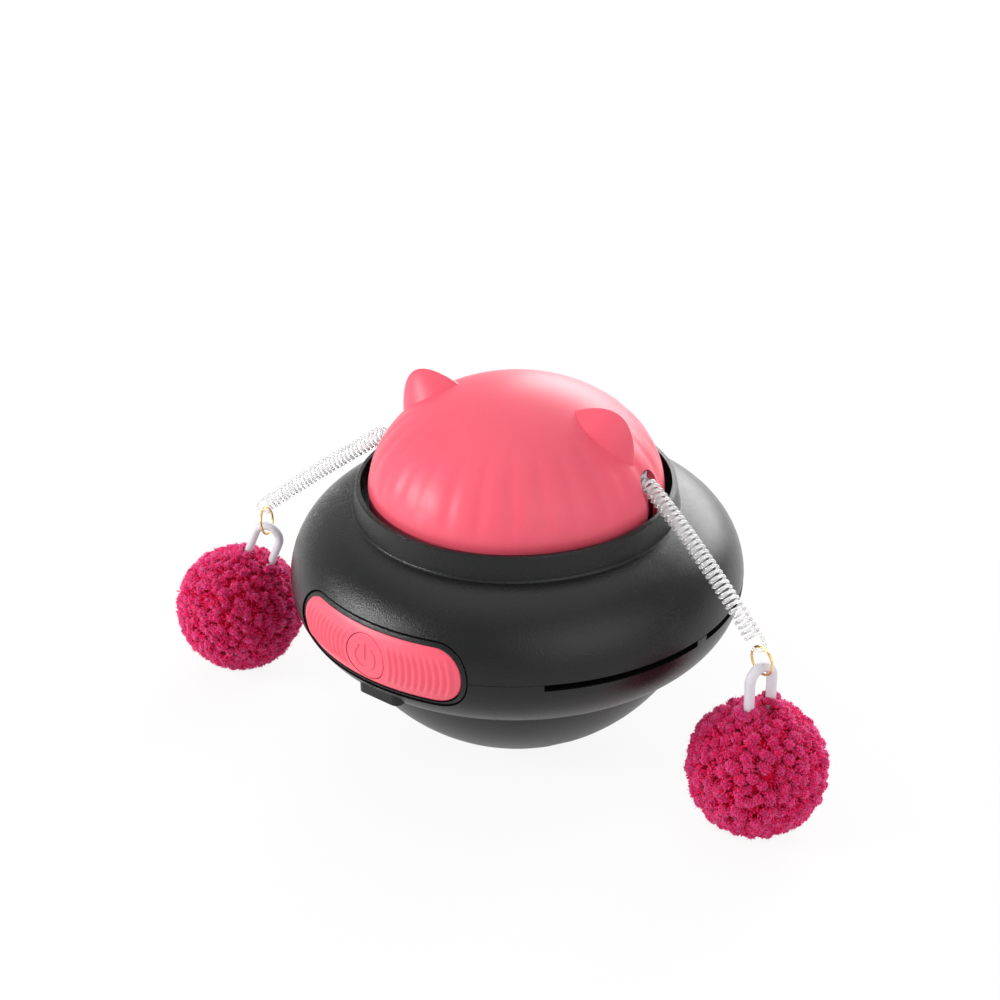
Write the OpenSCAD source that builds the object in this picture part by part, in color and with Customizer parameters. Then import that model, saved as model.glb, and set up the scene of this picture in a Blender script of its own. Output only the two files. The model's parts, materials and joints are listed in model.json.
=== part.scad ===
// Rotating cat toy: a weighted black body, a motor-driven pink dome with two ears,
// and two clear coil arms that swing yarn pom-poms round it.
// The origin is the middle of the foot on the floor, the switch faces -Y and +Z is up.

/* [Shells] */
// Largest radius of the shells, at the parting line
shell_r = 60; // [54:0.5:68]
// Height of the parting line above the floor
part_z = 47.2; // [46:0.1:54]
// Radius of the upper shell's shoulder arc
shoulder_arc = 20; // [18:0.5:22]
// How far the centre of the shoulder arc lies below the parting line
shoulder_drop = 0.5; // [0.3:0.1:2]
// Sweep of the shoulder arc up to the crease, in degrees
shoulder_sweep = 82; // [78:1:86]
// Radius of the lower shell's keel arc
keel_arc = 18; // [17:0.5:20]
// Depth of the lower shell below the parting line
keel_depth = 15.7; // [14:0.1:17]
// Wall of the shells, the bowl and the decks
wall = 2.2; // [1.8:0.1:2.8]
// Height of the collar above the crease
collar_h = 6.5; // [5:0.5:8]
// How far the collar leans inwards over its height
collar_lean = 0.9; // [0.3:0.1:1.5]
// Width of the collar's flat top
collar_top_w = 1.3; // [0.8:0.1:2]
// Height of the slots under the parting line
slot_h = 1.7; // [1.4:0.1:3]
// Angle from the switch to the near end of the front slots
slot_start = 45.5; // [40:0.5:55]
// Angle of the bridge between two slots
slot_bridge = 3.6; // [2:0.2:8]

/* [Base] */
// Width of the lower shell's edge round the bowl
lip_w = 2.64; // [1:0.02:3.7]
// How far the foot cuts into the bowl's sphere
foot_cut = 1; // [0.6:0.1:1.6]
// Gap between the counterweight and the bosses of the bowl's screws
weight_gap = 3; // [1:0.1:7]
// Height of the counterweight's top above the floor
weight_top = 12; // [9:0.5:13]
// How far the circle of the bowl's screws lies inside its rim
base_inset = 18.2; // [17.2:0.1:19.2]

/* [Switch] */
// Length of the pink panel
panel_l = 52; // [44:1:58]
// Height of the pink panel
panel_h = 15; // [14:0.5:17]
// Height of the panel's middle above the parting line
panel_rise = 0.3; // [-1:0.1:1.5]
// How deep the panel's face lies below the shell
panel_inset = 0.6; // [0.3:0.1:1]
// Thickness of the panel
panel_t = 3; // [2.6:0.1:3.4]
// Width of the recess round the panel
recess_w = 1.8; // [1:0.1:2.4]
// Depth of the recess round the panel
recess_d = 1; // [0.7:0.1:1.4]
// Radius of the power button
button_r = 6.2; // [5:0.1:6.6]
// Travel of the power button
button_travel = 0.7; // [0.4:0.1:0.9]
// Width of the boss under the panel
boss_w = 13.6; // [13:0.2:18]
// How far the boss's front stays behind the shells' largest radius
boss_step = 3.9; // [3:0.1:4]

/* [Dome] */
// Gap between the dome and the collar
dome_gap = 1.98; // [1.58:0.02:3.58]
// How far the dome's widest circle lies below the collar's top
dome_sink = 2; // [1:0.1:3]
// Height of the dome above its widest circle
dome_h = 28.1; // [26:0.1:32]
// Wall of the dome
dome_wall = 2; // [1.6:0.1:2.4]
// Turn of the dome at rest, from +X
rotor_turn = 15.5; // [-90:0.5:90]
// Half the width of the notches for the arms
notch_r = 4.5; // [4.2:0.1:5]
// Radius of an ear's ridge
ear_r = 9.6; // [8.8:0.1:9.8]
// Half the thickness of an ear at its foot
ear_t = 6.1; // [5:0.1:7]
// How far an ear's middle lies inside the dome's widest circle
ear_inset = 13.9; // [13.6:0.1:15.1]
// Height of an ear's middle above the dome's widest circle
ear_rise = 18.6; // [18:0.1:20]
// Turn of the ears' line against the arms' line
ear_turn = -5; // [-8:0.5:8]

/* [Drive] */
// Gear module
gear_m = 0.8; // [0.78:0.01:0.82]
// Teeth of the output gear on the drive shaft
output_teeth = 48; // [46:1:48]
// Teeth of the idler's large gear
idler_teeth = 36; // [34:1:36]
// Teeth of the motor pinion and of the idler's small gear
pinion_teeth = 14; // [14:1:15]
// Play between meshing teeth
backlash = 0.22; // [0.15:0.01:0.3]
// Radius of the drive shaft
shaft_r = 2.5; // [2:0.1:2.8]
// Radius of the motor can
motor_r = 10; // [9:0.25:10.25]
// Length of the motor can
motor_l = 25; // [20:0.5:28]
// Direction from the idler to the motor, in degrees
motor_angle = -30; // [-34:1:-26]

/* [Arms] */
// Outer diameter of the coils
coil_d = 4.7; // [4.4:0.1:5]
// Diameter of the coils' wire
wire_d = 0.95; // [0.85:0.05:1]
// Turns of each coil
coil_turns = 31; // [24:1:32]
// Length of the right coil as it lies stretched
right_coil_len = 49.1; // [46:0.1:54]
// Length of the left coil as it lies stretched
left_coil_len = 44.8; // [44:0.1:54]
// Sideways swing of the right arm at rest
right_sway = -30; // [-30:0.5:30]
// Sideways swing of the left arm at rest
left_sway = 6; // [-30:0.5:30]
// Droop of the right coil at its root
right_droop_root = 25; // [20:0.5:36]
// Droop of the right coil at its tip
right_droop_tip = 37; // [25:0.5:40]
// Droop of the left coil at its root
left_droop_root = 35; // [25:0.5:38]
// Droop of the left coil at its tip
left_droop_tip = 39; // [30:0.5:50]
// Height of the arms' roots above the dome's widest circle
root_rise = 8.8; // [8.4:0.1:9.4]
// How far the arms' pins lie inside the dome's widest circle
pin_inset = 4.3; // [3.8:0.1:4.6]
// Inward tilt of the left link ring at rest
left_ring_tilt = 8; // [0:0.5:15]
// Outer diameter of the link rings
ring_d = 8; // [7.6:0.1:9]
// Diameter of the link rings' wire
ring_wire = 0.75; // [0.6:0.05:0.9]
// Diameter of the hanger loops' cord
cord_d = 2.4; // [2:0.1:2.6]
// Width of a hanger loop between its legs' middles
loop_w = 7.2; // [6.4:0.1:8.4]
// Diameter of the pom-poms
pom_d = 36; // [32:0.5:38]
// Height of a hanger loop above its pom-pom
loop_h = 11.5; // [10:0.1:13]

/* [Fits] */
// Radial play of a shaft in its bush
run_play = 0.05; // [0.02:0.01:0.09]
// Radial play of a pressed or screwed piece in its hole
seat_play = 0.03; // [0.02:0.01:0.06]
// Gap round pieces that move past each other
move_gap = 0.3; // [0.25:0.05:0.4]
// Gap between linked wires
link_gap = 0.2; // [0.15:0.05:0.3]

/* [Hidden] */
$fn = 96;
far = 200;

// Body profile
keel_c = [shell_r - keel_arc, part_z];
shoulder_c = [shell_r - shoulder_arc, part_z - shoulder_drop];
shoulder_start = asin(shoulder_drop / shoulder_arc);
keel_end = -asin(keel_depth / keel_arc);
arc_steps = 14;
crease = shoulder_c + shoulder_arc * [cos(shoulder_sweep), sin(shoulder_sweep)];
collar_top = crease[1] + collar_h;
collar_r = crease[0] - collar_lean;
collar_in = collar_r - collar_top_w;
collar_chamfer = 0.4;
keel_z = part_z - keel_depth;
keel_r = keel_c[0] + keel_arc * cos(keel_end);
dome_r = collar_in - dome_gap;
dome_z = collar_top - dome_sink;
ear_x = dome_r - ear_inset;
pin_r = dome_r - pin_inset;

// Decks, from the bottom up
deck_z = keel_z + 2;
deck_top = deck_z + wall;
well_top = collar_top - 8;
well_z = well_top - wall;
plate_top = well_z - 11.6;
plate_z = plate_top - wall;

// Bowl: a sphere through its rim, cut off at the foot
rim_ledge = 0.3;
rim_r = keel_r - lip_w;
bowl_h = keel_z + foot_cut;
bowl_r = (pow(rim_r - rim_ledge, 2) + bowl_h * bowl_h) / (2 * bowl_h);
bowl_z = bowl_r - foot_cut;
bowl_in = bowl_r - wall;
foot_r = sqrt(bowl_r * bowl_r - bowl_z * bowl_z);
lip_in = rim_r + move_gap;
seat_r = sqrt(bowl_in * bowl_in - pow(bowl_z - wall, 2));
base_boss_z = 17;
base_boss_r = 5;
base_screw_r = rim_r - base_inset;
weight_r = base_screw_r - base_boss_r - weight_gap;

// Screws: shank radius, head radius, head height
screw_r = 1.4;
head_r = 2.6;
head_h = 1.4;
pilot_r = screw_r + seat_play;
pilot_deep = 10;
boss_r = 3.2;

// Shell screws, in posts that hang from the well's floor
head_gap = 1.4;
shell_post_r = rim_r - wall - head_r - head_gap;
shell_post_az = [45, 135, 225, 315];
base_boss_az = [60, 180, 300];

// Switch
panel_z = part_z + panel_rise;
panel_back = panel_inset + panel_t;
flange_w = 2;
button_flange = button_r + 1.4;
button_back = sqrt(pow(shell_r - panel_back, 2) - pow(button_flange, 2)) - 1.6 - move_gap;
button_flange_t = 1.2;
stem_l = 2.5;
tact_face = button_back - button_flange_t - stem_l - button_travel - 0.2;
tact_t = 5;
board_t = 1.6;
board_w = 18;
board_h = 20;
board_y = tact_face - tact_t;
panel_end = panel_l / 2 + flange_w;
panel_deep = shell_r - sqrt(shell_r * shell_r - panel_end * panel_end) + panel_back + wall;

// Charge socket under the boss
socket_w = 9;
socket_d = 3.2;
boss_reach = shell_r - boss_step;
boss_z = keel_z + 2;
boss_h = panel_z - panel_h / 2 - flange_w - move_gap - boss_z;
boss_corner = 2;
boss_end = board_y + wall;
socket_h = boss_h - 0.4;

// Gear train
output_r = gear_m * output_teeth / 2;
idler_big_r = gear_m * idler_teeth / 2;
pinion_r = gear_m * pinion_teeth / 2;
gear_t = 3.5;
level_1 = plate_top + 0.8;
level_2 = level_1 + gear_t + 0.5;
idler_at = [0, output_r + pinion_r];
motor_at = idler_at + (idler_big_r + pinion_r) * [cos(motor_angle), sin(motor_angle)];
axle_r = 1.5;
motor_shaft_r = 1;
motor_boss_r = 3;
motor_screw_at = 8.2;
motor_head_r = 1.4;
gear_plate_r = 33;
plate_posts = [[24.2, -14], [-24.2, -14], [-22, 18]];
bush_r = shaft_r + 2;

// Boards and battery on the deck
board_at = [-6, 33];
board_size = [26, 16];
board_lift = 2.3;
board_hole = 10;
battery_size = [34, 22, 6.5];
battery_gap = 6.8;
battery_y = -board_y + board_t + battery_gap + battery_size[1] / 2;

// Rotor
dome_in = dome_r - dome_wall;
dome_in_h = dome_h - dome_wall;
rim_z = well_top + 1.3;
rotor_z = well_top + 2;
rotor_top = rotor_z + wall;
hub_r = 6;
hub_top = rotor_top + 6;
rib_l = 4.5;
rotor_screw_r = pin_r - rib_l - boss_r - 4.6;
rotor_screw_az = [90, 210, 330];
notch_z = dome_z + root_rise - 1.3;

// Ears
ear_y = 0.3;
ear_ball = (ear_r * ear_r + ear_t * ear_t) / (2 * ear_t);

// Arms: index 0 is the right arm and 1 is the left
coil_len = [right_coil_len, left_coil_len];
sway = [right_sway, left_sway];
droop_0 = [right_droop_root, left_droop_root];
droop_1 = [right_droop_tip, left_droop_tip];
hook_side = [90, 0];
link_yaw = [0, 90];
ring_tilt = [0, left_ring_tilt];
lean_sign = [1, -1];
root_z = dome_z + root_rise;
coil_rm = (coil_d - wire_d) / 2;
coil_pitch = [for (k = [0, 1]) (coil_len[k] - wire_d) / coil_turns];
anchor_r = 1.7;
anchor_h = 3.8;
pin_d = 1.6;
nose_r = 1.2;
nose_end = 2.3;
flex_gap = 0.5;
coil_start = nose_end + flex_gap;
post_r = 2.2;
post_top = root_z - anchor_h / 2 - 0.2;
curl_rings = 8;
tube_sides = 6;
hook_lead = 2.2;
hook_sweep = 165;
hook_step = 27.5;
hook_from = 60;
grow_turn = 270;
bend_rings = 4;
bend_pull = 3;

// Links: distances between wire middles
ring_rm = (ring_d - ring_wire) / 2;
ring_seat = (wire_d + ring_wire) / 2 + link_gap;
loop_seat = (ring_wire + cord_d) / 2 + link_gap;
pom_r = pom_d / 2;
hang = pom_r + loop_h;
leg_sink = 5;

// Points on an arc, angles from a0 to a1
function arc(c, r, a0, a1, n) = [for (i = [0 : n]) let (a = a0 + (a1 - a0) * i / n) c + r * [cos(a),
    sin(a)]];

// Points on a quarter of the dome's ellipse, from below its widest circle to the top
function oval(r, h, from, n) = [for (i = [0 : n]) let (a = from + (90 - from) * i / n)
    [i == n ? 0 : r * cos(a), dome_z + h * sin(a)]];

// Outline of both shells together, moved inwards by d
function body_line(d) = concat(
    arc(keel_c, keel_arc - d, keel_end, 0, arc_steps),
    arc(shoulder_c, shoulder_arc - d, asin(shoulder_drop / (shoulder_arc - d)) + 0.2, shoulder_sweep,
        arc_steps));

// Where the shoulder arc, moved inwards by d, has height z
function shoulder_at(d, z) = asin((z - shoulder_c[1]) / (shoulder_arc - d));
function keel_at(d, z) = asin((z - keel_c[1]) / (keel_arc - d));

// A place at an angle from the switch, seen from above
function round_at(r, az) = [r * sin(az), -r * cos(az), 0];

// Solid of revolution inside both shells, d below their outside
module body_core(d) {
    line = body_line(d);
    rotate_extrude() polygon(concat(line, [[0, line[len(line) - 1][1]], [0, line[0][1]]]));
}

// A stadium-shaped prism through the front wall, grown by g
module panel_prism(g) {
    r = panel_h / 2 + g;
    half = (panel_l - panel_h) / 2;
    translate([0, -shell_r + panel_deep, panel_z]) rotate([90, 0, 0])
        linear_extrude(height = 2 * panel_deep) union() {
        square([2 * half, 2 * r], center = true);
        for (s = [-1, 1]) translate([s * half, 0]) circle(r = r);
    }
}

// The cuts that both shells get for the switch
module panel_cut() {
    panel_prism(move_gap);
    difference() {
        panel_prism(recess_w);
        body_core(recess_d);
    }
}

// A pan-headed screw along +Z with its head's underside at the origin
module screw(l) {
    translate([0, 0, -head_h]) cylinder(r = head_r, h = head_h);
    cylinder(r = screw_r, h = l);
}

module base_bowl() color("#2b2c2e") difference() {
    union() {
        rotate_extrude() polygon(concat(
            [[0, 0]], arc([0, bowl_z], bowl_r, -acos(foot_r / bowl_r),
                -asin((bowl_z - keel_z) / bowl_r), 16),
            [[rim_r, deck_z]],
            [[sqrt(bowl_in * bowl_in - pow(bowl_z - deck_z, 2)) - 0.4, deck_z]],
            arc([0, bowl_z], bowl_in, -asin((bowl_z - keel_z) / bowl_in), -acos(seat_r / bowl_in),
                16), [[0, wall]]));
        cylinder(r = 4, h = weight_top);
        for (az = base_boss_az) translate(round_at(base_screw_r, az)) intersection() {
            cylinder(r = base_boss_r, h = base_boss_z);
            translate(-round_at(base_screw_r, az) + [0, 0, bowl_z]) sphere(r = bowl_r - wall / 2);
        }
    }
    for (az = base_boss_az) translate(round_at(base_screw_r, az)) {
        translate([0, 0, -1]) cylinder(r = head_r + 0.6, h = base_boss_z - wall + 1);
        cylinder(r = pilot_r, h = far);
    }
    translate([0, 0, wall + 1]) cylinder(r = pilot_r, h = far);
}

module counterweight() color("#6d6f73") rotate_extrude() polygon(concat(
    [[4 + move_gap, wall], [seat_r - 1, wall]],
    arc([0, bowl_z], bowl_in - move_gap, -acos((seat_r + 0.5) / bowl_in), -acos(weight_r / bowl_in), 8),
    [[weight_r, weight_top], [4 + move_gap, weight_top]]));

module weight_screw() color("silver") translate([0, 0, weight_top]) {
    cylinder(r = head_r * 2.2, h = 1);
    translate([0, 0, 1]) cylinder(r = head_r, h = head_h);
    translate([0, 0, 2 - pilot_deep]) cylinder(r = screw_r, h = pilot_deep - 2);
}

module base_screws() color("silver") for (az = base_boss_az)
    translate(round_at(base_screw_r, az) + [0, 0, base_boss_z - wall]) screw(wall + pilot_deep - 1);

module lower_shell() color("#343537") difference() {
    union() {
        rotate_extrude() polygon(concat(
            arc(keel_c, keel_arc, keel_end, 0, arc_steps),
            arc(keel_c, keel_arc - wall, 0, keel_at(wall, deck_top), arc_steps),
            [[0, deck_top], [0, deck_z], [lip_in, deck_z], [lip_in, keel_z]]));
        boss_block();
        for (az = base_boss_az) translate(round_at(base_screw_r, az) + [0, 0, base_boss_z])
            cylinder(r = 4, h = deck_z - base_boss_z + 1);
        for (p = plate_posts) translate([p[0], p[1], deck_top - 1]) cylinder(r = boss_r,
            h = plate_z - deck_top + 1);
        for (s = [-1, 1]) translate([board_at[0] + s * board_hole, board_at[1], deck_top - 1])
            cylinder(r = boss_r, h = board_lift + 1);
        for (s = [-1, 1]) translate([s * (board_w / 2 + 1.2), -board_y + board_t / 2, deck_top + 3])
            cube([2, board_t + 3, 8], center = true);
    }
    panel_cut();
    for (s = [-1, 1], from = [slot_start, 90 + slot_bridge / 2])
        rotate([0, 0, -90]) slot_cut(s, from);
    translate([motor_at[0], motor_at[1], deck_z - 1]) cylinder(r = motor_r + 0.6, h = wall + 2);
    for (az = base_boss_az) translate(round_at(base_screw_r, az) + [0, 0, base_boss_z - 1])
        cylinder(r = pilot_r, h = pilot_deep + 1);
    for (az = shell_post_az) translate(round_at(shell_post_r, az) + [0, 0, deck_z - 1])
        cylinder(r = pilot_r, h = far);
    for (p = plate_posts) translate([p[0], p[1], plate_z - pilot_deep]) cylinder(r = pilot_r, h = far);
    for (s = [-1, 1]) translate([board_at[0] + s * board_hole, board_at[1], deck_top - 1])
        cylinder(r = pilot_r, h = far);
    translate([0, -boss_reach + wall + socket_d / 2, boss_z + socket_h / 2 - 3])
        cube([socket_w + 2 * seat_play, socket_d + 2 * seat_play, socket_h + 6], center = true);
}

// One slot under the parting line, on side s of the switch, from an angle outwards
module slot_cut(s, from) {
    span = 90 - slot_bridge / 2 - slot_start;
    translate([0, 0, part_z - slot_h]) rotate([0, 0, s > 0 ? from : -from - span])
        rotate_extrude(angle = span) translate([shell_r - wall - 2, 0]) square([wall + 4, slot_h + 1]);
}

// The block that stands out of the lower shell under the panel
module boss_block() translate([0, 0, boss_z]) linear_extrude(height = boss_h) union() {
    translate([-boss_w / 2, -boss_reach + boss_corner]) square([boss_w,
        boss_reach - boss_corner - boss_end]);
    translate([-boss_w / 2 + boss_corner, -boss_reach]) square([boss_w - 2 * boss_corner,
        boss_reach - boss_end]);
    for (s = [-1, 1]) translate([s * (boss_w / 2 - boss_corner), -boss_reach + boss_corner])
        circle(r = boss_corner);
}

module upper_shell() color("#38393b") difference() {
    union() {
        rotate_extrude() polygon(concat(
            arc(shoulder_c, shoulder_arc, shoulder_start, shoulder_sweep, arc_steps),
            [[collar_r, collar_top - collar_chamfer], [collar_r - collar_chamfer, collar_top]],
            [[collar_in, collar_top], [collar_in, well_top], [0, well_top], [0, well_z]],
            arc(shoulder_c, shoulder_arc - wall, shoulder_at(wall, well_z), shoulder_at(wall,
                part_z), arc_steps)));
        for (az = shell_post_az) translate(round_at(shell_post_r, az) + [0, 0, deck_top])
            cylinder(r = boss_r, h = well_z - deck_top + 1);
    }
    panel_cut();
    translate([0, 0, well_z - 1]) cylinder(r = bush_r + 1 + seat_play, h = wall + 2);
    for (az = shell_post_az) translate(round_at(shell_post_r, az) + [0, 0, deck_top - 1])
        cylinder(r = pilot_r, h = pilot_deep + 3);
}

module shell_screws() color("silver") for (az = shell_post_az)
    translate(round_at(shell_post_r, az) + [0, 0, deck_z]) screw(wall + pilot_deep);

module switch_panel() color("#f4677f") difference() {
    union() {
        intersection() {
            panel_prism(0);
            body_core(panel_inset);
        }
        intersection() {
            panel_prism(flange_w);
            body_core(wall + move_gap);
        }
    }
    body_core(panel_back);
    translate([0, 0, panel_z]) rotate([90, 0, 0]) cylinder(r = button_r + move_gap, h = far);
}

module power_button() color("#f4677f") {
    intersection() {
        translate([0, -button_back + button_flange_t, panel_z]) rotate([90, 0, 0])
            cylinder(r = button_r, h = shell_r);
        body_core(panel_inset);
    }
    translate([0, -button_back + button_flange_t, panel_z]) rotate([90, 0, 0])
        cylinder(r = button_flange, h = button_flange_t);
    translate([0, -button_back + button_flange_t + stem_l, panel_z]) rotate([90, 0, 0])
        cylinder(r = 2, h = stem_l + 1);
}

module switch_board() color("#2f6b3c") translate([-board_w / 2, -board_y, deck_top]) cube([board_w,
    board_t, board_h]);

module tact_switch() color("#303134") translate([0, -board_y, panel_z]) {
    translate([-3, -3.5, -3]) cube([6, 3.5, 6]);
    rotate([90, 0, 0]) cylinder(r = 1.7, h = tact_t);
}

module charge_socket() color("silver") translate([0, -boss_reach + wall + socket_d / 2, boss_z])
    difference() {
    translate([0, 0, socket_h / 2]) cube([socket_w, socket_d, socket_h], center = true);
    cube([socket_w - 1, socket_d - 1, 4 * socket_h], center = true);
}

module gear_plate() color("#d9d6cc") difference() {
    translate([0, 0, plate_z]) cylinder(r = gear_plate_r, h = wall);
    translate([0, 0, plate_z - 1]) cylinder(r = bush_r + seat_play, h = wall + 2);
    translate([idler_at[0], idler_at[1], plate_z - 1]) cylinder(r = axle_r + seat_play, h = wall + 2);
    translate([motor_at[0], motor_at[1], plate_z - 1]) {
        cylinder(r = motor_boss_r + seat_play, h = wall + 2);
        rotate([0, 0, motor_angle + 90]) for (s = [-1, 1]) translate([s * motor_screw_at, 0, 0])
            cylinder(r = 0.8 + seat_play, h = wall + 2);
    }
    for (p = plate_posts) translate([p[0], p[1], plate_z - 1]) cylinder(r = pilot_r, h = wall + 2);
    for (az = shell_post_az) translate(round_at(shell_post_r, az) + [0, 0, plate_z - 1])
        cylinder(r = boss_r + move_gap, h = wall + 2);
}

module gear_plate_screws() color("silver") for (p = plate_posts)
    translate([p[0], p[1], plate_top]) mirror([0, 0, 1]) screw(wall + pilot_deep - 2);

module motor() color("#b9bcc0") translate([motor_at[0], motor_at[1], plate_z]) difference() {
    union() {
        translate([0, 0, -motor_l]) cylinder(r = motor_r, h = motor_l);
        translate([0, 0, -0.5]) cylinder(r = motor_boss_r, h = wall + 0.5);
    }
    translate([0, 0, -4]) cylinder(r = motor_shaft_r + run_play, h = wall + 5);
    rotate([0, 0, motor_angle + 90]) for (s = [-1, 1]) translate([s * motor_screw_at, 0, -4])
        cylinder(r = 0.8 + seat_play, h = 5);
}

module motor_screws() color("silver") translate([motor_at[0], motor_at[1], plate_top])
    rotate([0, 0, motor_angle + 90]) for (s = [-1, 1]) translate([s * motor_screw_at, 0, 0]) {
        cylinder(r = motor_head_r, h = 1.2);
        translate([0, 0, -wall - 3]) cylinder(r = 0.8, h = wall + 3.5);
    }

// Involute spur gear outline with a tooth on +X
module gear_outline(teeth) {
    rp = gear_m * teeth / 2;
    rb = rp * cos(20);
    ra = rp + 0.8 * gear_m;
    rf = rp - 1.15 * gear_m;
    half = 90 / teeth - backlash / rp * 45 / PI;
    base = tan(20) * 180 / PI - 20;
    radii = [rf, max(rb, rf + 0.05), (max(rb, rf) + rp) / 2, rp, (rp + ra) / 2, ra];
    spread = [for (r = radii) let (a = r > rb ? acos(rb / r) : 0) half + base - (tan(a) * 180 / PI - a)];
    polygon([for (i = [0 : teeth - 1], j = [0 : 11]) let (
        n = j < 6 ? j : 11 - j,
        a = 360 * i / teeth + (j < 6 ? -1 : 1) * spread[n]) radii[n] * [cos(a), sin(a)]]);
}

module motor_shaft() color("silver") translate([motor_at[0], motor_at[1], plate_z - 3.5])
    cylinder(r = motor_shaft_r, h = level_1 + gear_t - plate_z + 3.5);

module motor_pinion() color("#f2efe6") translate([motor_at[0], motor_at[1], level_1]) difference() {
    rotate([0, 0, motor_angle + 180 + 180 / pinion_teeth]) linear_extrude(height = gear_t)
        gear_outline(pinion_teeth);
    translate([0, 0, -1]) cylinder(r = motor_shaft_r + seat_play, h = gear_t + 2);
}

module idler_axle() color("silver") translate([idler_at[0], idler_at[1], plate_z]) {
    cylinder(r = axle_r, h = level_2 + gear_t + 0.3 - plate_z);
    translate([0, 0, level_2 + gear_t + 0.2 - plate_z]) cylinder(r = axle_r + 1.2, h = 0.8);
}

module idler_gear() color("#f2efe6") translate([idler_at[0], idler_at[1], 0]) difference() {
    union() {
        translate([0, 0, plate_top + 0.1]) cylinder(r = axle_r + 1.6, h = level_2 - plate_top);
        translate([0, 0, level_1]) rotate([0, 0, motor_angle]) linear_extrude(height = gear_t)
            gear_outline(idler_teeth);
        translate([0, 0, level_1 + gear_t - 0.2]) rotate([0, 0, -90 + 180 / pinion_teeth])
            linear_extrude(height = level_2 - level_1 + 0.2) gear_outline(pinion_teeth);
    }
    translate([0, 0, plate_z]) cylinder(r = axle_r + run_play, h = well_z - plate_z);
}

module lower_bush() color("#b08d4a") difference() {
    union() {
        translate([0, 0, plate_z - 3]) cylinder(r = bush_r, h = wall + 3.5);
        translate([0, 0, plate_top]) cylinder(r = bush_r + 1.4, h = 1.2);
    }
    translate([0, 0, plate_z - 4]) cylinder(r = shaft_r + run_play, h = wall + 8);
}

module upper_bush() color("#b08d4a") difference() {
    union() {
        translate([0, 0, well_z - 0.6]) cylinder(r = bush_r + 1, h = wall + 1);
        translate([0, 0, well_top]) cylinder(r = bush_r + 2.6, h = 0.9);
    }
    translate([0, 0, well_z - 2]) cylinder(r = shaft_r + run_play, h = wall + 5);
}

module drive_shaft() color("silver") translate([0, 0, plate_z - 5.4]) cylinder(r = shaft_r,
    h = hub_top - plate_z + 4.4);

module shaft_clip() color("#8a8d91") translate([0, 0, plate_z - 4.4]) difference() {
    cylinder(r = shaft_r + 1.8, h = 1.1);
    translate([0, 0, -1]) cylinder(r = shaft_r + seat_play, h = 4);
}

module output_gear() color("#f2efe6") difference() {
    union() {
        translate([0, 0, level_2]) rotate([0, 0, 90]) linear_extrude(height = gear_t)
            gear_outline(output_teeth);
        translate([0, 0, plate_top + 1.5]) cylinder(r = shaft_r + 2.5, h = well_z - plate_top - 2.5);
    }
    translate([0, 0, plate_top]) cylinder(r = shaft_r + seat_play, h = 20);
}

module battery() color("#c9ccd1") translate([-battery_size[0] / 2, battery_y - battery_size[1] / 2,
    deck_top])
    cube(battery_size);

module circuit_board() color("#2f6b3c") difference() {
    translate([board_at[0], board_at[1], deck_top + board_lift + board_t / 2])
        cube([board_size[0], board_size[1], board_t], center = true);
    for (s = [-1, 1]) translate([board_at[0] + s * board_hole, board_at[1], deck_top])
        cylinder(r = pilot_r, h = 10);
}

module board_screws() color("silver") for (s = [-1, 1])
    translate([board_at[0] + s * board_hole, board_at[1], deck_top + board_lift + board_t])
        mirror([0, 0, 1]) screw(board_t + board_lift);

// Rotor pieces are drawn with the ears on +X and -X, then turned to their rest angle
module turned() rotate([0, 0, rotor_turn]) children();

module arm_pin_place() for (k = [0, 1]) rotate([0, 0, 180 * k]) translate([pin_r, 0, 0]) children();

module rotor_plate() color("#e2536d") turned() difference() {
    union() {
        translate([0, 0, rotor_z]) cylinder(r = dome_in - 1, h = wall);
        translate([0, 0, well_top + 1]) cylinder(r = hub_r, h = hub_top - well_top - 1);
        arm_pin_place() translate([0, 0, rotor_z]) {
            cylinder(r = post_r, h = post_top - rotor_z);
            translate([-rib_l, -post_r + 0.6, 0]) cube([rib_l, 2 * post_r - 1.2, post_top - rotor_z - 2]);
        }
    }
    translate([0, 0, well_top]) cylinder(r = shaft_r + seat_play, h = hub_top - well_top - 1);
    for (az = rotor_screw_az) translate(round_at(rotor_screw_r, az) + [0, 0, rotor_z - 1])
        cylinder(r = pilot_r, h = wall + 2);
    arm_pin_place() translate([0, 0, post_top - 6]) cylinder(r = pin_d / 2 + seat_play, h = 7);
}

module rotor_screws() color("silver") turned() for (az = rotor_screw_az)
    translate(round_at(rotor_screw_r, az) + [0, 0, rotor_z]) screw(wall + pilot_deep - 2);

module spring_pins() color("silver") turned() arm_pin_place() {
    translate([0, 0, post_top - 6]) cylinder(r = pin_d / 2, h = anchor_h + 6.5);
    translate([0, 0, root_z + anchor_h / 2 + 0.2]) cylinder(r = pin_d / 2 + 0.6, h = 0.6);
}

// One ear: two rounded faces that meet in a ridge
module ear() translate([ear_x, ear_y, dome_z + ear_rise]) intersection() {
    translate([0, ear_ball - ear_t, 0]) sphere(r = ear_ball);
    translate([0, ear_t - ear_ball, 0]) sphere(r = ear_ball);
}

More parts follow.
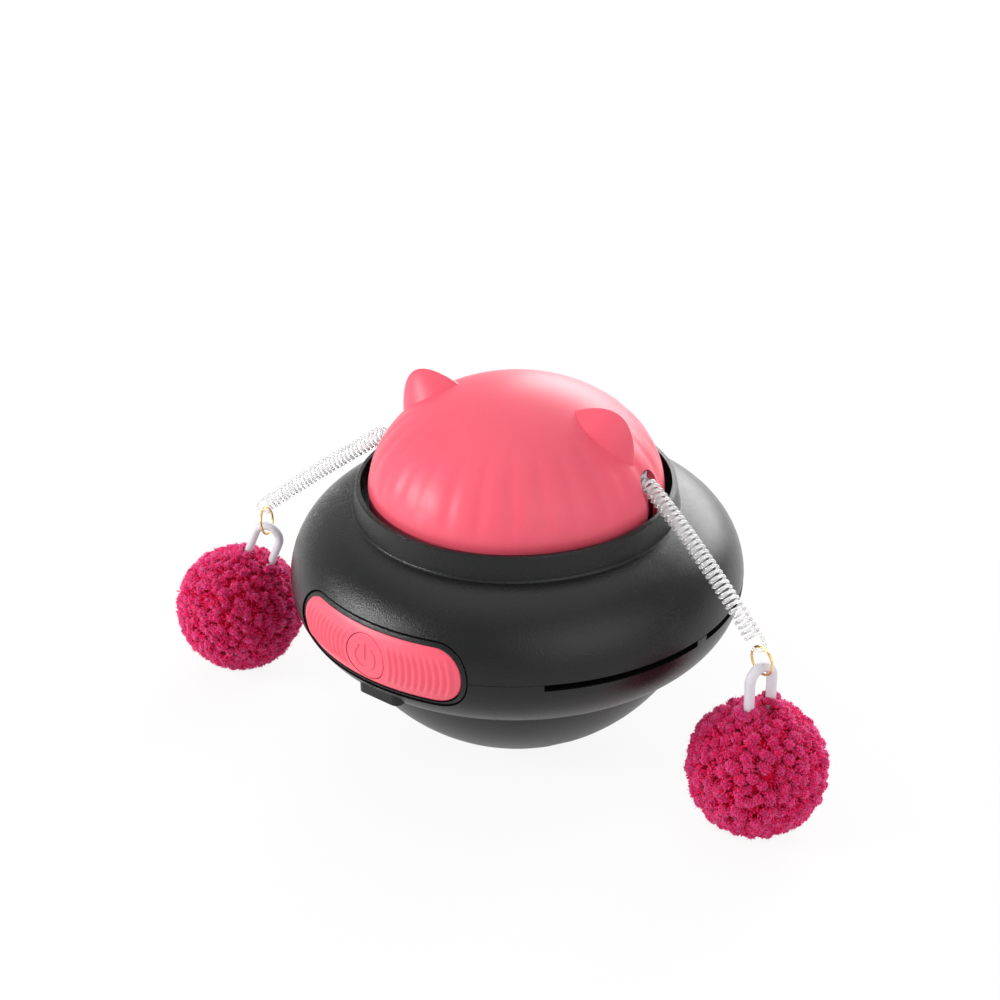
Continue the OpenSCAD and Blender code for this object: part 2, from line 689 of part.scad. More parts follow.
module dome_cover() color("#fb6b80") turned() {
    difference() {
        union() {
            rotate_extrude() polygon(concat([[0, rim_z]], oval(dome_r, dome_h,
                asin((rim_z - dome_z) / dome_h), 22)));
            rotate([0, 0, ear_turn]) ear();
            rotate([0, 0, ear_turn]) mirror([1, 0, 0]) ear();
        }
        dome_hollow();
        for (k = [0, 1]) rotate([0, 0, 180 * k]) {
            translate([dome_in / 2, 0, notch_z]) rotate([0, 90, 0]) cylinder(r = notch_r, h = far);
            translate([dome_in / 2, -notch_r, 0]) cube([far, 2 * notch_r, notch_z]);
        }
    }
    for (az = rotor_screw_az) difference() {
        intersection() {
            translate(round_at(rotor_screw_r, az) + [0, 0, rotor_top]) cylinder(r = boss_r, h = far);
            rotate_extrude() polygon(concat([[0, rim_z]], oval(dome_in + 0.4, dome_in_h + 0.4, 0, 22)));
        }
        translate(round_at(rotor_screw_r, az) + [0, 0, rotor_top - 1]) cylinder(r = pilot_r,
            h = pilot_deep);
    }
}

module dome_hollow() rotate_extrude() polygon(concat([[0, rim_z - 1], [dome_in, rim_z - 1]],
    oval(dome_in, dome_in_h, 0, 22)));

// Points on a coil's axis in its arm's own frame: X outwards, Z up, the root at the origin
function bend_rate(k) = (droop_1[k] - droop_0[k]) / coil_len[k];
function droop(k, s) = droop_0[k] + bend_rate(k) * s;
function axis_at(k, s) = let (g = bend_rate(k), m = 180 / PI / (abs(g) < 0.0001 ? 1 : g))
    abs(g) < 0.0001 ? [s * cos(droop_0[k]), 0, -s * sin(droop_0[k])]
        : m * [sin(droop(k, s)) - sin(droop_0[k]), 0, cos(droop(k, s)) - cos(droop_0[k])];
function along(k, s) = [cos(droop(k, s)), 0, -sin(droop(k, s))];
function radial(k, s, a) = cos(a) * [sin(droop(k, s)), 0, cos(droop(k, s))] + sin(a) * [0, 1, 0];

// Helix of a coil at turn angle a, growing out of its axis in the first turn
function helix_s(k, a) = wire_d + coil_pitch[k] * a / 360;
function helix(k, a) = axis_at(k, helix_s(k, a)) + coil_rm * sin(min(90,
    90 * a / grow_turn)) * radial(k, helix_s(k, a), a);

// The hook at a coil's tip: a loop bent out along the axis
function hook_a(k) = 360 * coil_turns + hook_side[k] - hook_from;
function hook_s(k) = helix_s(k, hook_a(k)) + hook_lead;
function hook_c(k) = axis_at(k, hook_s(k));
function hook_out(k) = radial(k, hook_s(k), hook_side[k]);
function hook_pt(k, f) = hook_c(k) + coil_rm * (cos(f) * hook_out(k) + sin(f) * along(k, hook_s(k)));

function unit(v) = v / norm(v);
function hermite(p0, m0, p1, m1, u) = (2 * pow(u, 3) - 3 * u * u + 1) * p0 + (pow(u,
    3) - 2 * u * u + u) * m0
    + (3 * u * u - 2 * pow(u, 3)) * p1 + (pow(u, 3) - u * u) * m1;

function coil_path(k) = let (
    end = hook_a(k),
    steps = floor(end * curl_rings / 360),
    p0 = helix(k, end),
    m0 = bend_pull * unit(p0 - helix(k, end - 5)),
    m1 = bend_pull * along(k, hook_s(k)),
    tail = unit(hook_pt(k, hook_sweep) - hook_pt(k, hook_sweep - 1)))
    concat([axis_at(k, 0)], [for (i = [0 : steps]) helix(k, end * i / steps)],
        [for (i = [1 : bend_rings]) hermite(p0, m0, hook_pt(k, 0), m1, i / bend_rings)],
        [for (f = [hook_step : hook_step : hook_sweep]) hook_pt(k, f)],
        [hook_pt(k, hook_sweep) + wire_d * tail]);

// Rings of points round a path, carried along without twist
function tangents(p) = [for (i = [0 : len(p) - 1]) unit(p[min(i + 1, len(p) - 1)] - p[max(i - 1, 0)])];
function flat_to(n, t) = unit(n - (n * t) * t);
function tube_points(p, r) = let (t = tangents(p)) [
    for (i = 0, n = flat_to([0, 1, 0], t[0]); i < len(p); i = i + 1, n = i < len(p) ? flat_to(n,
        t[i]) : n)
        for (j = [0 : tube_sides - 1])
            p[i] + r * (cos(360 * j / tube_sides) * n + sin(360 * j / tube_sides) * cross(t[i], n))];

module tube(pts) {
    s = tube_sides;
    rings = len(pts) / s;
    polyhedron(points = pts, faces = concat(
        [for (i = [0 : rings - 2], j = [0 : s - 1]) [s * i + j, s * i + (j + 1) % s, s * (i + 1) + j]],
        [for (i = [0 : rings - 2], j = [0 : s - 1]) [s * i + (j + 1) % s, s * (i + 1) + (j + 1) % s,
            s * (i + 1) + j]],
        [for (j = [1 : s - 2]) [0, j + 1, j]],
        [for (j = [1 : s - 2]) [s * (rings - 1), s * (rings - 1) + j, s * (rings - 1) + j + 1]]));
}

// Least gap of a coil to itself, between points at least five rings apart
function self_gap(pts) = let (s = tube_sides, rings = len(pts) / s) min([
    for (i = [0 : rings - 6], d = [5 : 11], a = [0 : s - 1], b = [0 : s - 1])
        if (i + d < rings) norm(pts[s * i + a] - pts[s * (i + d) + b])]);

coil_points = [for (k = [0, 1]) tube_points(coil_path(k), wire_d / 2)];

// Links that hang from the hook, in the arm's frame
function down(k) = [-sin(ring_tilt[k]), 0, -cos(ring_tilt[k])];
function hook_low(k) = let (t = along(k, hook_s(k)), e = hook_out(k))
    hook_c(k) + coil_rm * unit((down(k) * t) * t + (down(k) * e) * e);
function ring_c(k) = hook_low(k) + (ring_rm - ring_seat) * down(k);
function ring_low(k) = ring_c(k) + ring_rm * down(k);
function lean(k) = lean_sign[k] * acos(min(1, (root_z + ring_low(k)[2] - pom_r) / (hang - loop_seat)));

module on_arm(k) rotate([0, 0, rotor_turn + 180 * k]) translate([pin_r, 0, root_z])
    rotate([0, 0, sway[k]]) translate([coil_start, 0, 0]) children();

module on_pom(k) on_arm(k) translate(ring_low(k)) rotate([0, 0, link_yaw[k]]) rotate([lean(k), 0, 0])
    translate([0, 0, loop_seat]) children();

module coil_anchor(k) color("#e9e9ee") on_arm(k) translate([-coil_start, 0, 0]) difference() {
    union() {
        translate([0, 0, -anchor_h / 2]) cylinder(r = anchor_r, h = anchor_h);
        rotate([0, 90, 0]) cylinder(r = nose_r, h = nose_end);
    }
    translate([0, 0, -anchor_h]) cylinder(r = pin_d / 2 + run_play, h = 2 * anchor_h);
}

module coil_spring(k) color("#f4f4f8") on_arm(k) tube(coil_points[k]);

module link_ring(k) color("#d9a441") on_arm(k) translate(ring_c(k)) rotate([0, ring_tilt[k], 0])
    rotate([90, 0, link_yaw[k]]) rotate_extrude() translate([ring_rm, 0]) circle(r = ring_wire / 2,
        $fn = 24);

module hanger_loop(k) color("#b9b6c6") on_pom(k) {
    translate([0, 0, -loop_w / 2]) rotate([90, 0, 90]) rotate_extrude(angle = 180)
        translate([loop_w / 2, 0]) circle(r = cord_d / 2, $fn = 32);
    for (s = [-1, 1]) translate([0, s * loop_w / 2, -loop_h - leg_sink])
        cylinder(r = cord_d / 2, h = loop_h + leg_sink - loop_w / 2, $fn = 32);
}

module pompom(k) color("#c2185b") on_pom(k) difference() {
    translate([0, 0, -hang]) sphere(r = pom_r);
    for (s = [-1, 1]) translate([0, s * loop_w / 2, -loop_h - leg_sink])
        cylinder(r = cord_d / 2 + seat_play, h = far, $fn = 32);
}

module coil_anchor_right() coil_anchor(0);
module coil_anchor_left() coil_anchor(1);
module coil_spring_right() coil_spring(0);
module coil_spring_left() coil_spring(1);
module link_ring_right() link_ring(0);
module link_ring_left() link_ring(1);
module hanger_loop_right() hanger_loop(0);
module hanger_loop_left() hanger_loop(1);
module pompom_right() pompom(0);
module pompom_left() pompom(1);

// Pivots in the toy's own frame
function turn_z(v, a) = [v[0] * cos(a) - v[1] * sin(a), v[0] * sin(a) + v[1] * cos(a), v[2]];
function arm_turn(k) = rotor_turn + 180 * k + sway[k];
function from_arm(k, v) = turn_z(v + [coil_start, 0, 0], arm_turn(k)) + turn_z([pin_r, 0, root_z],
    rotor_turn + 180 * k);

echo(coil_self_gap = [for (k = [0, 1]) self_gap(coil_points[k])]);
echo(pin_at = [for (k = [0, 1]) turn_z([pin_r, 0, root_z], rotor_turn + 180 * k)]);
echo(root_at = [for (k = [0, 1]) from_arm(k, [0, 0, 0])]);
echo(root_axis = [for (k = [0, 1]) turn_z([0, -1, 0], arm_turn(k))]);
echo(hook_at = [for (k = [0, 1]) from_arm(k, hook_low(k))]);
echo(ring_axis = [for (k = [0, 1]) turn_z([0, 1, 0], arm_turn(k) + link_yaw[k])]);
echo(ring_low_at = [for (k = [0, 1]) from_arm(k, ring_low(k))]);
echo(pom_axis = [for (k = [0, 1]) turn_z([1, 0, 0], arm_turn(k) + link_yaw[k])]);
echo(pom_lean = [for (k = [0, 1]) lean(k)]);
echo(idler_at = idler_at, motor_at = motor_at);
echo(levels = [keel_z, deck_top, plate_z, plate_top, level_1, level_2, well_z, well_top, collar_top,
    crease]);

base_bowl();
counterweight();
weight_screw();
base_screws();
lower_shell();
upper_shell();
shell_screws();
switch_panel();
power_button();
switch_board();
tact_switch();
charge_socket();
gear_plate();
gear_plate_screws();
motor();
motor_screws();
motor_shaft();
motor_pinion();
idler_axle();
idler_gear();
lower_bush();
upper_bush();
drive_shaft();
shaft_clip();
output_gear();
battery();
circuit_board();
board_screws();
rotor_plate();
rotor_screws();
spring_pins();
dome_cover();
coil_anchor_right();
coil_anchor_left();
coil_spring_right();
coil_spring_left();
link_ring_right();
link_ring_left();
hanger_loop_right();
hanger_loop_left();
pompom_right();
pompom_left();
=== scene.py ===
import bpy, json, math, random
from mathutils import Matrix, Vector, noise


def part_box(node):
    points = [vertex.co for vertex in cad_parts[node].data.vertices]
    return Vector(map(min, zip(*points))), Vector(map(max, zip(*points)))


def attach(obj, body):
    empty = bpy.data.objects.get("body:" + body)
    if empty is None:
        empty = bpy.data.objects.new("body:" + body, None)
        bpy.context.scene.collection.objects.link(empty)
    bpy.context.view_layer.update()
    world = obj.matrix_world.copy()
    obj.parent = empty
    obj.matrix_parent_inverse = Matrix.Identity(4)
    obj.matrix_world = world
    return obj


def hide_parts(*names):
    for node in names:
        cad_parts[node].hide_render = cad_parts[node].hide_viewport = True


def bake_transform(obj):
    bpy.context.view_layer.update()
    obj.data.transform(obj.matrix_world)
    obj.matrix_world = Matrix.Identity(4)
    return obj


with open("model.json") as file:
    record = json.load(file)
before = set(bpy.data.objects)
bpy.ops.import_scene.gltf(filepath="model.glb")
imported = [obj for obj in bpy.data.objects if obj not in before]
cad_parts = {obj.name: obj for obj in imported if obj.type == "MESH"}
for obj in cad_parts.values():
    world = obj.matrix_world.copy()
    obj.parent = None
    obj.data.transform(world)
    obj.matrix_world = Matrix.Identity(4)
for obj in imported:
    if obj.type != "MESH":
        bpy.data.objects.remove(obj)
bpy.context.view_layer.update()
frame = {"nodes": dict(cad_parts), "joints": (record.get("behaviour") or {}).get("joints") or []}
mm = 0.001
print("frame loaded with", len(frame["nodes"]), "nodes")

# camera, floor and light

photoView = {
    "target": Vector((0, 0, 50)) * mm,
    "distance": 600 * mm,
    "azimuth": 39.5,          # from the switch side towards the right arm
    "elevation": 29.46,
    "roll": -0.01212,         # the toy leans a hair to the left in the picture
    "lens": 81.49,
    "sensor": 36,
    "shift": (-0.01707, 0.05555),
    "clip": (0.02, 50),
}


def deselectAll():
    if bpy.context.object and bpy.context.object.mode != "OBJECT":
        bpy.ops.object.mode_set(mode="OBJECT")
    bpy.ops.object.select_all(action="DESELECT")


def aimCamera():
    deselectAll()
    a, e = math.radians(photoView["azimuth"]), math.radians(photoView["elevation"])
    lean = photoView["roll"]
    back = Vector((math.sin(a) * math.cos(e), -math.cos(a) * math.cos(e), math.sin(e)))
    right = Vector((math.cos(a), math.sin(a), 0))
    up = back.cross(right)
    across = right * math.cos(lean) + up * math.sin(lean)
    upright = up * math.cos(lean) - right * math.sin(lean)
    turn = Matrix((across, upright, back)).transposed().to_4x4()
    turn.translation = photoView["target"] + back * photoView["distance"]
    bpy.ops.object.camera_add()
    cam = bpy.context.object
    cam.name = "photoCamera"
    cam.matrix_world = turn
    cam.data.lens = photoView["lens"]
    cam.data.sensor_width = photoView["sensor"]
    cam.data.shift_x, cam.data.shift_y = photoView["shift"]
    cam.data.clip_start, cam.data.clip_end = photoView["clip"]
    bpy.context.scene.camera = cam


aimCamera()
bpy.context.scene.view_settings.view_transform = "Standard"


class Wire:
    # a shader socket that can be added and multiplied
    def __init__(self, tree, socket=None):
        self.tree, self.socket = tree, socket

    def node(self, kind, settings, inputs, out=0):
        made = self.tree.nodes.new("ShaderNode" + kind)
        for key, value in settings.items():
            if key == "stops":
                ramp = made.color_ramp
                ramp.elements.remove(ramp.elements[1])
                for n, (place, shade) in enumerate(value):
                    spot = ramp.elements[0] if n == 0 else ramp.elements.new(place)
                    spot.position, spot.color = place, (*shade, 1)
            else:
                setattr(made, key, value)
        for key, value in inputs.items():
            if isinstance(value, Wire):
                self.tree.links.new(value.socket, made.inputs[key])
            else:
                made.inputs[key].default_value = value
        return Wire(self.tree, made.outputs[out])

    def maths(self, operation, *values):
        return self.node("Math", {"operation": operation}, dict(enumerate(values)))

    def __add__(self, other): return self.maths("ADD", self, other)
    def __radd__(self, other): return self.maths("ADD", other, self)
    def __mul__(self, other): return self.maths("MULTIPLY", self, other)
    def __rmul__(self, other): return self.maths("MULTIPLY", other, self)

    def clamp(self): return self.node("Clamp", {}, {0: self})

    def tint(self, dark, light):
        ends = [c if isinstance(c, Wire) else (*c, 1) for c in (dark, light)]
        return self.node("Mix", {"data_type": "RGBA"}, {0: self, 6: ends[0], 7: ends[1]}, 2)


def newFinish(name, fixed):
    mat = bpy.data.materials.new(name)
    mat.use_nodes = True
    shader = mat.node_tree.nodes["Principled BSDF"]
    for key, value in fixed.items():
        shader.inputs[key].default_value = value
    return mat, Wire(mat.node_tree), shader


def feed(shader, wire, socketName):
    wire.tree.links.new(wire.socket, shader.inputs[socketName])


def speckle(wire, spot, scale, detail=2.0, rough=0.5):
    return wire.node("TexNoise", {}, {"Vector": spot, "Scale": scale, "Detail": detail, "Roughness": rough})


def bumpFrom(wire, height, strength, distance):
    return wire.node("Bump", {}, {"Strength": strength, "Distance": distance, "Height": height})


studio = {
    "skyLight": 0.42,
    "floorTone": (0.93, 0.93, 0.93),
    "floorRadius": 6,
    "floorGlow": 0.90,        # share of the floor that shows as plain white
    "glossShare": 0.4,        # share of the white background that glossy surfaces mirror
    "lamps": [                # name, place, aim, width, height, watts
        ("keySoftbox", (-0.53, -0.63, 0.34), (0, 0, 0.06), 0.46, 0.20, 5.2),
        ("topSoftbox", (-0.10, 0.15, 1.10), (0, 0, 0.06), 1.30, 1.30, 3.8),
        ("backSoftbox", (-0.22, 0.97, 0.37), (0, 0, 0.06), 0.95, 0.46, 9.5),
        ("rightFill", (0.82, -0.20, 0.52), (0, 0, 0.06), 0.95, 0.75, 3.0),
    ],
}


def whiteSeen(wire):
    # camera and transmission rays, and a share of the glossy ones, meet plain white
    camera = wire.node("LightPath", {}, {}, "Is Camera Ray")
    rays = camera.socket.node.outputs
    through, gloss = Wire(wire.tree, rays["Is Transmission Ray"]), Wire(wire.tree, rays["Is Glossy Ray"])
    return (camera + through + gloss * studio["glossShare"]).clamp()


def setStudio():
    world = bpy.data.worlds.new("studioWorld")
    bpy.context.scene.world = world
    world.use_nodes = True
    tree = world.node_tree
    tree.nodes.clear()
    wire = Wire(tree)
    seen = whiteSeen(wire)
    light = wire.node("Background", {}, {"Color": (1, 1, 1, 1), "Strength": studio["skyLight"]})
    plain = wire.node("Background", {}, {"Color": (1, 1, 1, 1), "Strength": 1.0})
    mixed = wire.node("MixShader", {}, {0: seen, 1: light, 2: plain})
    tree.links.new(mixed.socket, tree.nodes.new("ShaderNodeOutputWorld").inputs["Surface"])
    deselectAll()
    bpy.ops.mesh.primitive_circle_add(vertices=96, radius=studio["floorRadius"], fill_type="NGON")
    floor = bpy.context.object
    floor.name = "floor"
    mat, wire, shader = newFinish("paleFloor", {"Roughness": 0.9, "Base Color": (*studio["floorTone"], 1)})
    seen = whiteSeen(wire) * studio["floorGlow"]
    glow = wire.node("Emission", {}, {"Color": (1, 1, 1, 1), "Strength": 1.0})
    both = wire.node("MixShader", {}, {0: seen, 1: Wire(mat.node_tree, shader.outputs[0]), 2: glow})
    mat.node_tree.links.new(both.socket, mat.node_tree.nodes["Material Output"].inputs["Surface"])
    floor.data.materials.append(mat)
    for name, place, aim, width, height, watts in studio["lamps"]:
        bpy.ops.object.light_add(type="AREA", location=place)
        lamp = bpy.context.object
        lamp.name = name
        lamp.rotation_euler = (Vector(aim) - Vector(place)).to_track_quat("-Z", "Y").to_euler()
        lamp.data.shape = "RECTANGLE"
        lamp.data.size, lamp.data.size_y, lamp.data.energy = width, height, watts


setStudio()
print("camera, floor and lamps set")

# finishes


def coralFinish():
    mat, wire, shader = newFinish("coralPlastic", {"IOR": 1.46, "Specular IOR Level": 0.42})
    spot = wire.node("TexCoord", {}, {}, "Object")
    cloud = speckle(wire, spot, 38.0, detail=3.0)
    fine = speckle(wire, spot, 900.0, detail=3.0, rough=0.6)
    grain = speckle(wire, spot, 3800.0, detail=1.0)
    shade = (cloud * 0.65 + fine * 0.35).clamp()
    feed(shader, shade.tint((0.78, 0.082, 0.130), (0.90, 0.118, 0.180)), "Base Color")
    feed(shader, 0.29 + cloud * 0.14 + fine * 0.08, "Roughness")
    feed(shader, bumpFrom(wire, grain * 0.7 + fine * 0.3, strength=0.10, distance=0.00012), "Normal")
    return mat


def blackFinish(name, tone, gloss, sparkle):
    mat, wire, shader = newFinish(name, {"IOR": 1.5, "Specular IOR Level": gloss})
    spot = wire.node("TexCoord", {}, {}, "Object")
    cloud = speckle(wire, spot, 30.0, detail=3.0)
    pits = wire.node("TexVoronoi", {}, {"Vector": spot, "Scale": 2600.0})    # the pitted skin of the moulding
    fine = speckle(wire, spot, 5200.0)
    shade = (cloud * 0.6 + fine * 0.4).clamp()
    feed(shader, shade.tint([c * 0.82 for c in tone], [c * 1.22 for c in tone]), "Base Color")
    feed(shader, 0.19 + cloud * 0.08 + fine * 0.08, "Roughness")
    feed(shader, bumpFrom(wire, pits * 0.7 + fine * 0.3, strength=sparkle, distance=0.00012), "Normal")
    return mat


def clearFinish():
    mat, wire, shader = newFinish("clearPlastic", {
        "IOR": 1.45, "Transmission Weight": 0.74,
        "Coat Weight": 0.8, "Coat IOR": 1.9, "Coat Roughness": 0.04,
    })
    spot = wire.node("TexCoord", {}, {}, "Object")
    cloud = speckle(wire, spot, 420.0)
    feed(shader, cloud.tint((0.96, 0.965, 0.97), (1.0, 1.0, 1.0)), "Base Color")
    feed(shader, 0.03 + cloud * 0.04, "Roughness")
    return mat


def metalFinish(name, dark, light, rough, lineScale):
    mat, wire, shader = newFinish(name, {"Metallic": 1.0})
    spot = wire.node("TexCoord", {}, {}, "Object")
    drawn = wire.node("Mapping", {}, {"Vector": spot, "Scale": (1.0, 1.0, 9.0)})
    lines = speckle(wire, drawn, lineScale, detail=3.0, rough=0.6)
    cloud = speckle(wire, spot, 120.0)
    feed(shader, (lines * 0.5 + cloud * 0.5).clamp().tint(dark, light), "Base Color")
    feed(shader, rough + lines * 0.14, "Roughness")
    feed(shader, bumpFrom(wire, lines, strength=0.12, distance=0.00005), "Normal")
    return mat


def mouldedFinish(name, dark, light, rough, grainSize=2200.0):
    mat, wire, shader = newFinish(name, {"IOR": 1.46})
    spot = wire.node("TexCoord", {}, {}, "Object")
    cloud = speckle(wire, spot, 90.0, detail=3.0)
    grain = speckle(wire, spot, grainSize)
    feed(shader, (cloud * 0.7 + grain * 0.3).clamp().tint(dark, light), "Base Color")
    feed(shader, rough + grain * 0.12, "Roughness")
    feed(shader, bumpFrom(wire, grain, strength=0.12, distance=0.0001), "Normal")
    return mat


def yarnFinish(name, shadedDeep, body, tip):
    mat, wire, shader = newFinish(name, {
        "Specular IOR Level": 0.1,
        "Sheen Weight": 0.15, "Sheen Roughness": 0.5, "Sheen Tint": (1.0, 0.15, 0.40, 1),
        "Subsurface Weight": 0.7, "Subsurface Scale": 0.0012, "Subsurface Radius": (1.0, 0.25, 0.45),
    })
    spot = wire.node("TexCoord", {}, {}, "Object")
    along = wire.node("Attribute", {"attribute_name": "along"}, {}, "Fac")
    tuft = wire.node("Attribute", {"attribute_name": "tuftTone"}, {}, "Fac")
    fuzz = speckle(wire, spot, 2600.0, detail=3.0, rough=0.7)
    # painted shade and light: the ramp is darker at the strands' roots and the core, as shade among the
    # strands, and paler and pinker at the tips, as light seen through the fibre ends
    ramp = wire.node("ValToRGB", {"stops": [(0.0, shadedDeep), (0.25, shadedDeep), (0.7, body), (1.0, tip)]}, {0: along})
    paler = tuft.tint(body, tip)
    feed(shader, (fuzz * 0.35 + tuft * 0.35).clamp().tint(ramp, paler), "Base Color")
    feed(shader, 0.75 + fuzz * 0.2, "Roughness")
    feed(shader, bumpFrom(wire, fuzz, strength=0.4, distance=0.0002), "Normal")
    return mat


finishes = {
    "coral": coralFinish(),
    "shell": blackFinish("satinBlack", (0.0060, 0.0062, 0.0067), 0.31, 0.60),
    "bowl": blackFinish("bowlBlack", (0.0064, 0.0066, 0.0071), 0.26, 0.40),
    "clear": clearFinish(),
    "gold": metalFinish("goldWire", (0.72, 0.47, 0.14), (0.95, 0.68, 0.28), 0.12, 900.0),
    "steel": metalFinish("plainSteel", (0.55, 0.56, 0.57), (0.78, 0.78, 0.79), 0.28, 900.0),
    "can": metalFinish("motorCan", (0.48, 0.49, 0.50), (0.68, 0.69, 0.70), 0.32, 500.0),
    "brass": metalFinish("turnedBrass", (0.60, 0.42, 0.18), (0.80, 0.60, 0.30), 0.25, 900.0),
    "iron": mouldedFinish("castIron", (0.11, 0.11, 0.12), (0.21, 0.21, 0.22), 0.55, 900.0),
    "foil": metalFinish("batteryFoil", (0.70, 0.71, 0.72), (0.84, 0.85, 0.86), 0.30, 260.0),
    "ivory": mouldedFinish("ivoryPlastic", (0.76, 0.73, 0.65), (0.88, 0.86, 0.80), 0.42),
    "board": mouldedFinish("boardLacquer", (0.03, 0.15, 0.06), (0.07, 0.26, 0.11), 0.30),
    "switch": mouldedFinish("switchBlack", (0.030, 0.030, 0.032), (0.055, 0.055, 0.06), 0.45),
    "cord": mouldedFinish("lavenderCord", (0.60, 0.57, 0.63), (0.78, 0.75, 0.81), 0.40, 1600.0),
    "yarn": yarnFinish("magentaYarn", (0.74, 0.003, 0.048), (0.86, 0.010, 0.090), (0.96, 0.050, 0.200)),
}
print(len(finishes), "finishes made")

# tools for the pieces


def activate(piece):
    deselectAll()
    piece.select_set(True)
    bpy.context.view_layer.objects.active = piece


def editAll(piece):
    activate(piece)
    bpy.ops.object.mode_set(mode="EDIT")
    bpy.ops.mesh.select_all(action="SELECT")


def pickNothing(piece):
    editAll(piece)
    bpy.ops.mesh.select_all(action="DESELECT")
    bpy.ops.object.mode_set(mode="OBJECT")


def applyPlace(piece):
    activate(piece)
    bpy.ops.object.transform_apply(location=True, rotation=True, scale=True)


def smoothByAngle(piece, degrees):
    activate(piece)
    bpy.ops.object.shade_smooth_by_angle(angle=math.radians(degrees))


def cutWith(piece, tool, operation="DIFFERENCE"):
    activate(piece)
    bpy.ops.object.modifier_add(type="BOOLEAN")
    cut = piece.modifiers[-1]
    cut.operation, cut.object, cut.solver = operation, tool, "MANIFOLD"
    bpy.ops.object.modifier_apply(modifier=cut.name)
    bpy.data.objects.remove(tool)


def dress(piece, finish, body, slotName, *nodes):
    piece.data.materials.clear()
    piece.data.materials.append(finishes[finish])
    if body:
        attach(piece, body)
    if nodes:
        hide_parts(*nodes)
    return piece


def smoothCopy(node, name, degrees=28):
    deselectAll()
    piece = bpy.data.objects.new(name, frame["nodes"][node].data.copy())
    bpy.context.scene.collection.objects.link(piece)
    activate(piece)
    bpy.ops.mesh.customdata_custom_splitnormals_clear()
    editAll(piece)
    bpy.ops.mesh.remove_doubles(threshold=2e-6)
    bpy.ops.object.mode_set(mode="OBJECT")
    smoothByAngle(piece, degrees)
    return piece


def meshPiece(name, points, faces):
    mesh = bpy.data.meshes.new(name)
    mesh.from_pydata(points, [], faces)
    piece = bpy.data.objects.new(name, mesh)
    bpy.context.scene.collection.objects.link(piece)
    return piece


def smoothStep(low, high, x):
    t = min(1.0, max(0.0, (x - low) / (high - low)))
    return t * t * (3 - 2 * t)


# shells: the CAD walls with their bands smoothed

shellSet = {                           # rings are given as radius and height
    "parting": (60.0, 47.2), "groove": 0.14, "grooveCuts": 1,
    "crease": (42.78, 66.51), "creaseFillet": 0.4,
    "lip": (50.8, 31.5), "lipRound": 0.3, "roundCuts": 3,
    "ringNear": (0.12, 0.06), "smooth": 28,
}


def softenRing(piece, radius, z, width, segments):
    # bevels the ring of edges at one radius and height
    pickNothing(piece)
    nearRadius, nearZ = shellSet["ringNear"]

    def near(v):
        return abs(v.co.z / mm - z) < nearZ and abs(math.hypot(v.co.x, v.co.y) / mm - radius) < nearRadius

    count = 0
    for edge in piece.data.edges:
        edge.select = all(near(piece.data.vertices[i]) for i in edge.vertices)
        count += edge.select
    activate(piece)
    bpy.ops.object.mode_set(mode="EDIT")
    bpy.ops.mesh.select_mode(type="EDGE")
    if count:
        bpy.ops.mesh.bevel(offset=width * mm, segments=segments, affect="EDGES", clamp_overlap=True)
    bpy.ops.mesh.select_mode(type="VERT")
    bpy.ops.object.mode_set(mode="OBJECT")
    print("  softened", count, "edges on", piece.name)


upper = smoothCopy("upper_shell", "upperShell")
softenRing(upper, *shellSet["parting"], shellSet["groove"], shellSet["grooveCuts"])
softenRing(upper, *shellSet["crease"], shellSet["creaseFillet"], shellSet["roundCuts"])
lower = smoothCopy("lower_shell", "lowerShell")
softenRing(lower, *shellSet["parting"], shellSet["groove"], shellSet["grooveCuts"])
softenRing(lower, *shellSet["lip"], shellSet["lipRound"], shellSet["roundCuts"])
for piece, node, finish in ((upper, "upper_shell", "shell"), (lower, "lower_shell", "shell"),
                            (smoothCopy("base_bowl", "baseBowl"), "base_bowl", "bowl")):
    smoothByAngle(piece, shellSet["smooth"])
    dress(piece, finish, "base", "shell_black", node)
print("shells dressed")

# dome with flutes and ears

domeSet = {
    "radius": 38.603, "height": 28.1, "widestZ": 71.005, "rimZ": 66.305, "wall": 2.0, "turn": 15.5,
    "grid": (336, 128), "innerGrid": (128, 64), "innerFlat": 20.0, "smooth": 32,
    "flutes": 28, "fluteTurn": 9.3, "fluteDepth": 0.36,
    "fluteTop": (86.5, 95.0), "fluteFoot": (74.0, 79.0),
    "notchHalf": 4.5, "notchZ": 77.7, "notchFoot": 50.0, "notchAt": 38.0, "notchLong": 40.0,
    "notchNear": (0.3, 0.01), "pinTop": 80.6,
}
earSet = {
    "turn": -5.0, "place": (25.2, 0.3, 90.4), "lean": 34.0,   # the ear stands square to the dome
    "halfLength": 10.2, "halfThick": 6.2, "height": 8.5, "ridge": 1.5, "sink": 1.5, "grid": (144, 96),
}


def roundBlank(name, radius, height, centreZ, rimZ, around, rings):
    deselectAll()
    bpy.ops.mesh.primitive_uv_sphere_add(segments=around, ring_count=rings, radius=1)
    piece = bpy.context.object
    piece.name = name
    piece.scale = (radius * mm, radius * mm, height * mm)
    piece.location = (0, 0, centreZ * mm)
    applyPlace(piece)
    editAll(piece)
    bpy.ops.mesh.bisect(plane_co=(0, 0, rimZ * mm), plane_no=(0, 0, 1), use_fill=True, clear_inner=True)
    bpy.ops.object.mode_set(mode="OBJECT")
    return piece


def pressFlutes(piece):
    low, high = domeSet["fluteFoot"], domeSet["fluteTop"]
    for v in piece.data.vertices:
        z, r = v.co.z / mm, math.hypot(v.co.x, v.co.y)
        fade = smoothStep(*low, z) * (1 - smoothStep(*high, z))
        if fade <= 0 or r < 1e-6:
            continue
        turn = math.atan2(v.co.y, v.co.x) - math.radians(domeSet["fluteTurn"])
        groove = (0.5 + 0.5 * math.cos(domeSet["flutes"] * turn)) ** 2    # narrow grooves between broad lobes
        inward = domeSet["fluteDepth"] * fade * groove * mm
        v.co.x -= inward * v.co.x / r
        v.co.y -= inward * v.co.y / r


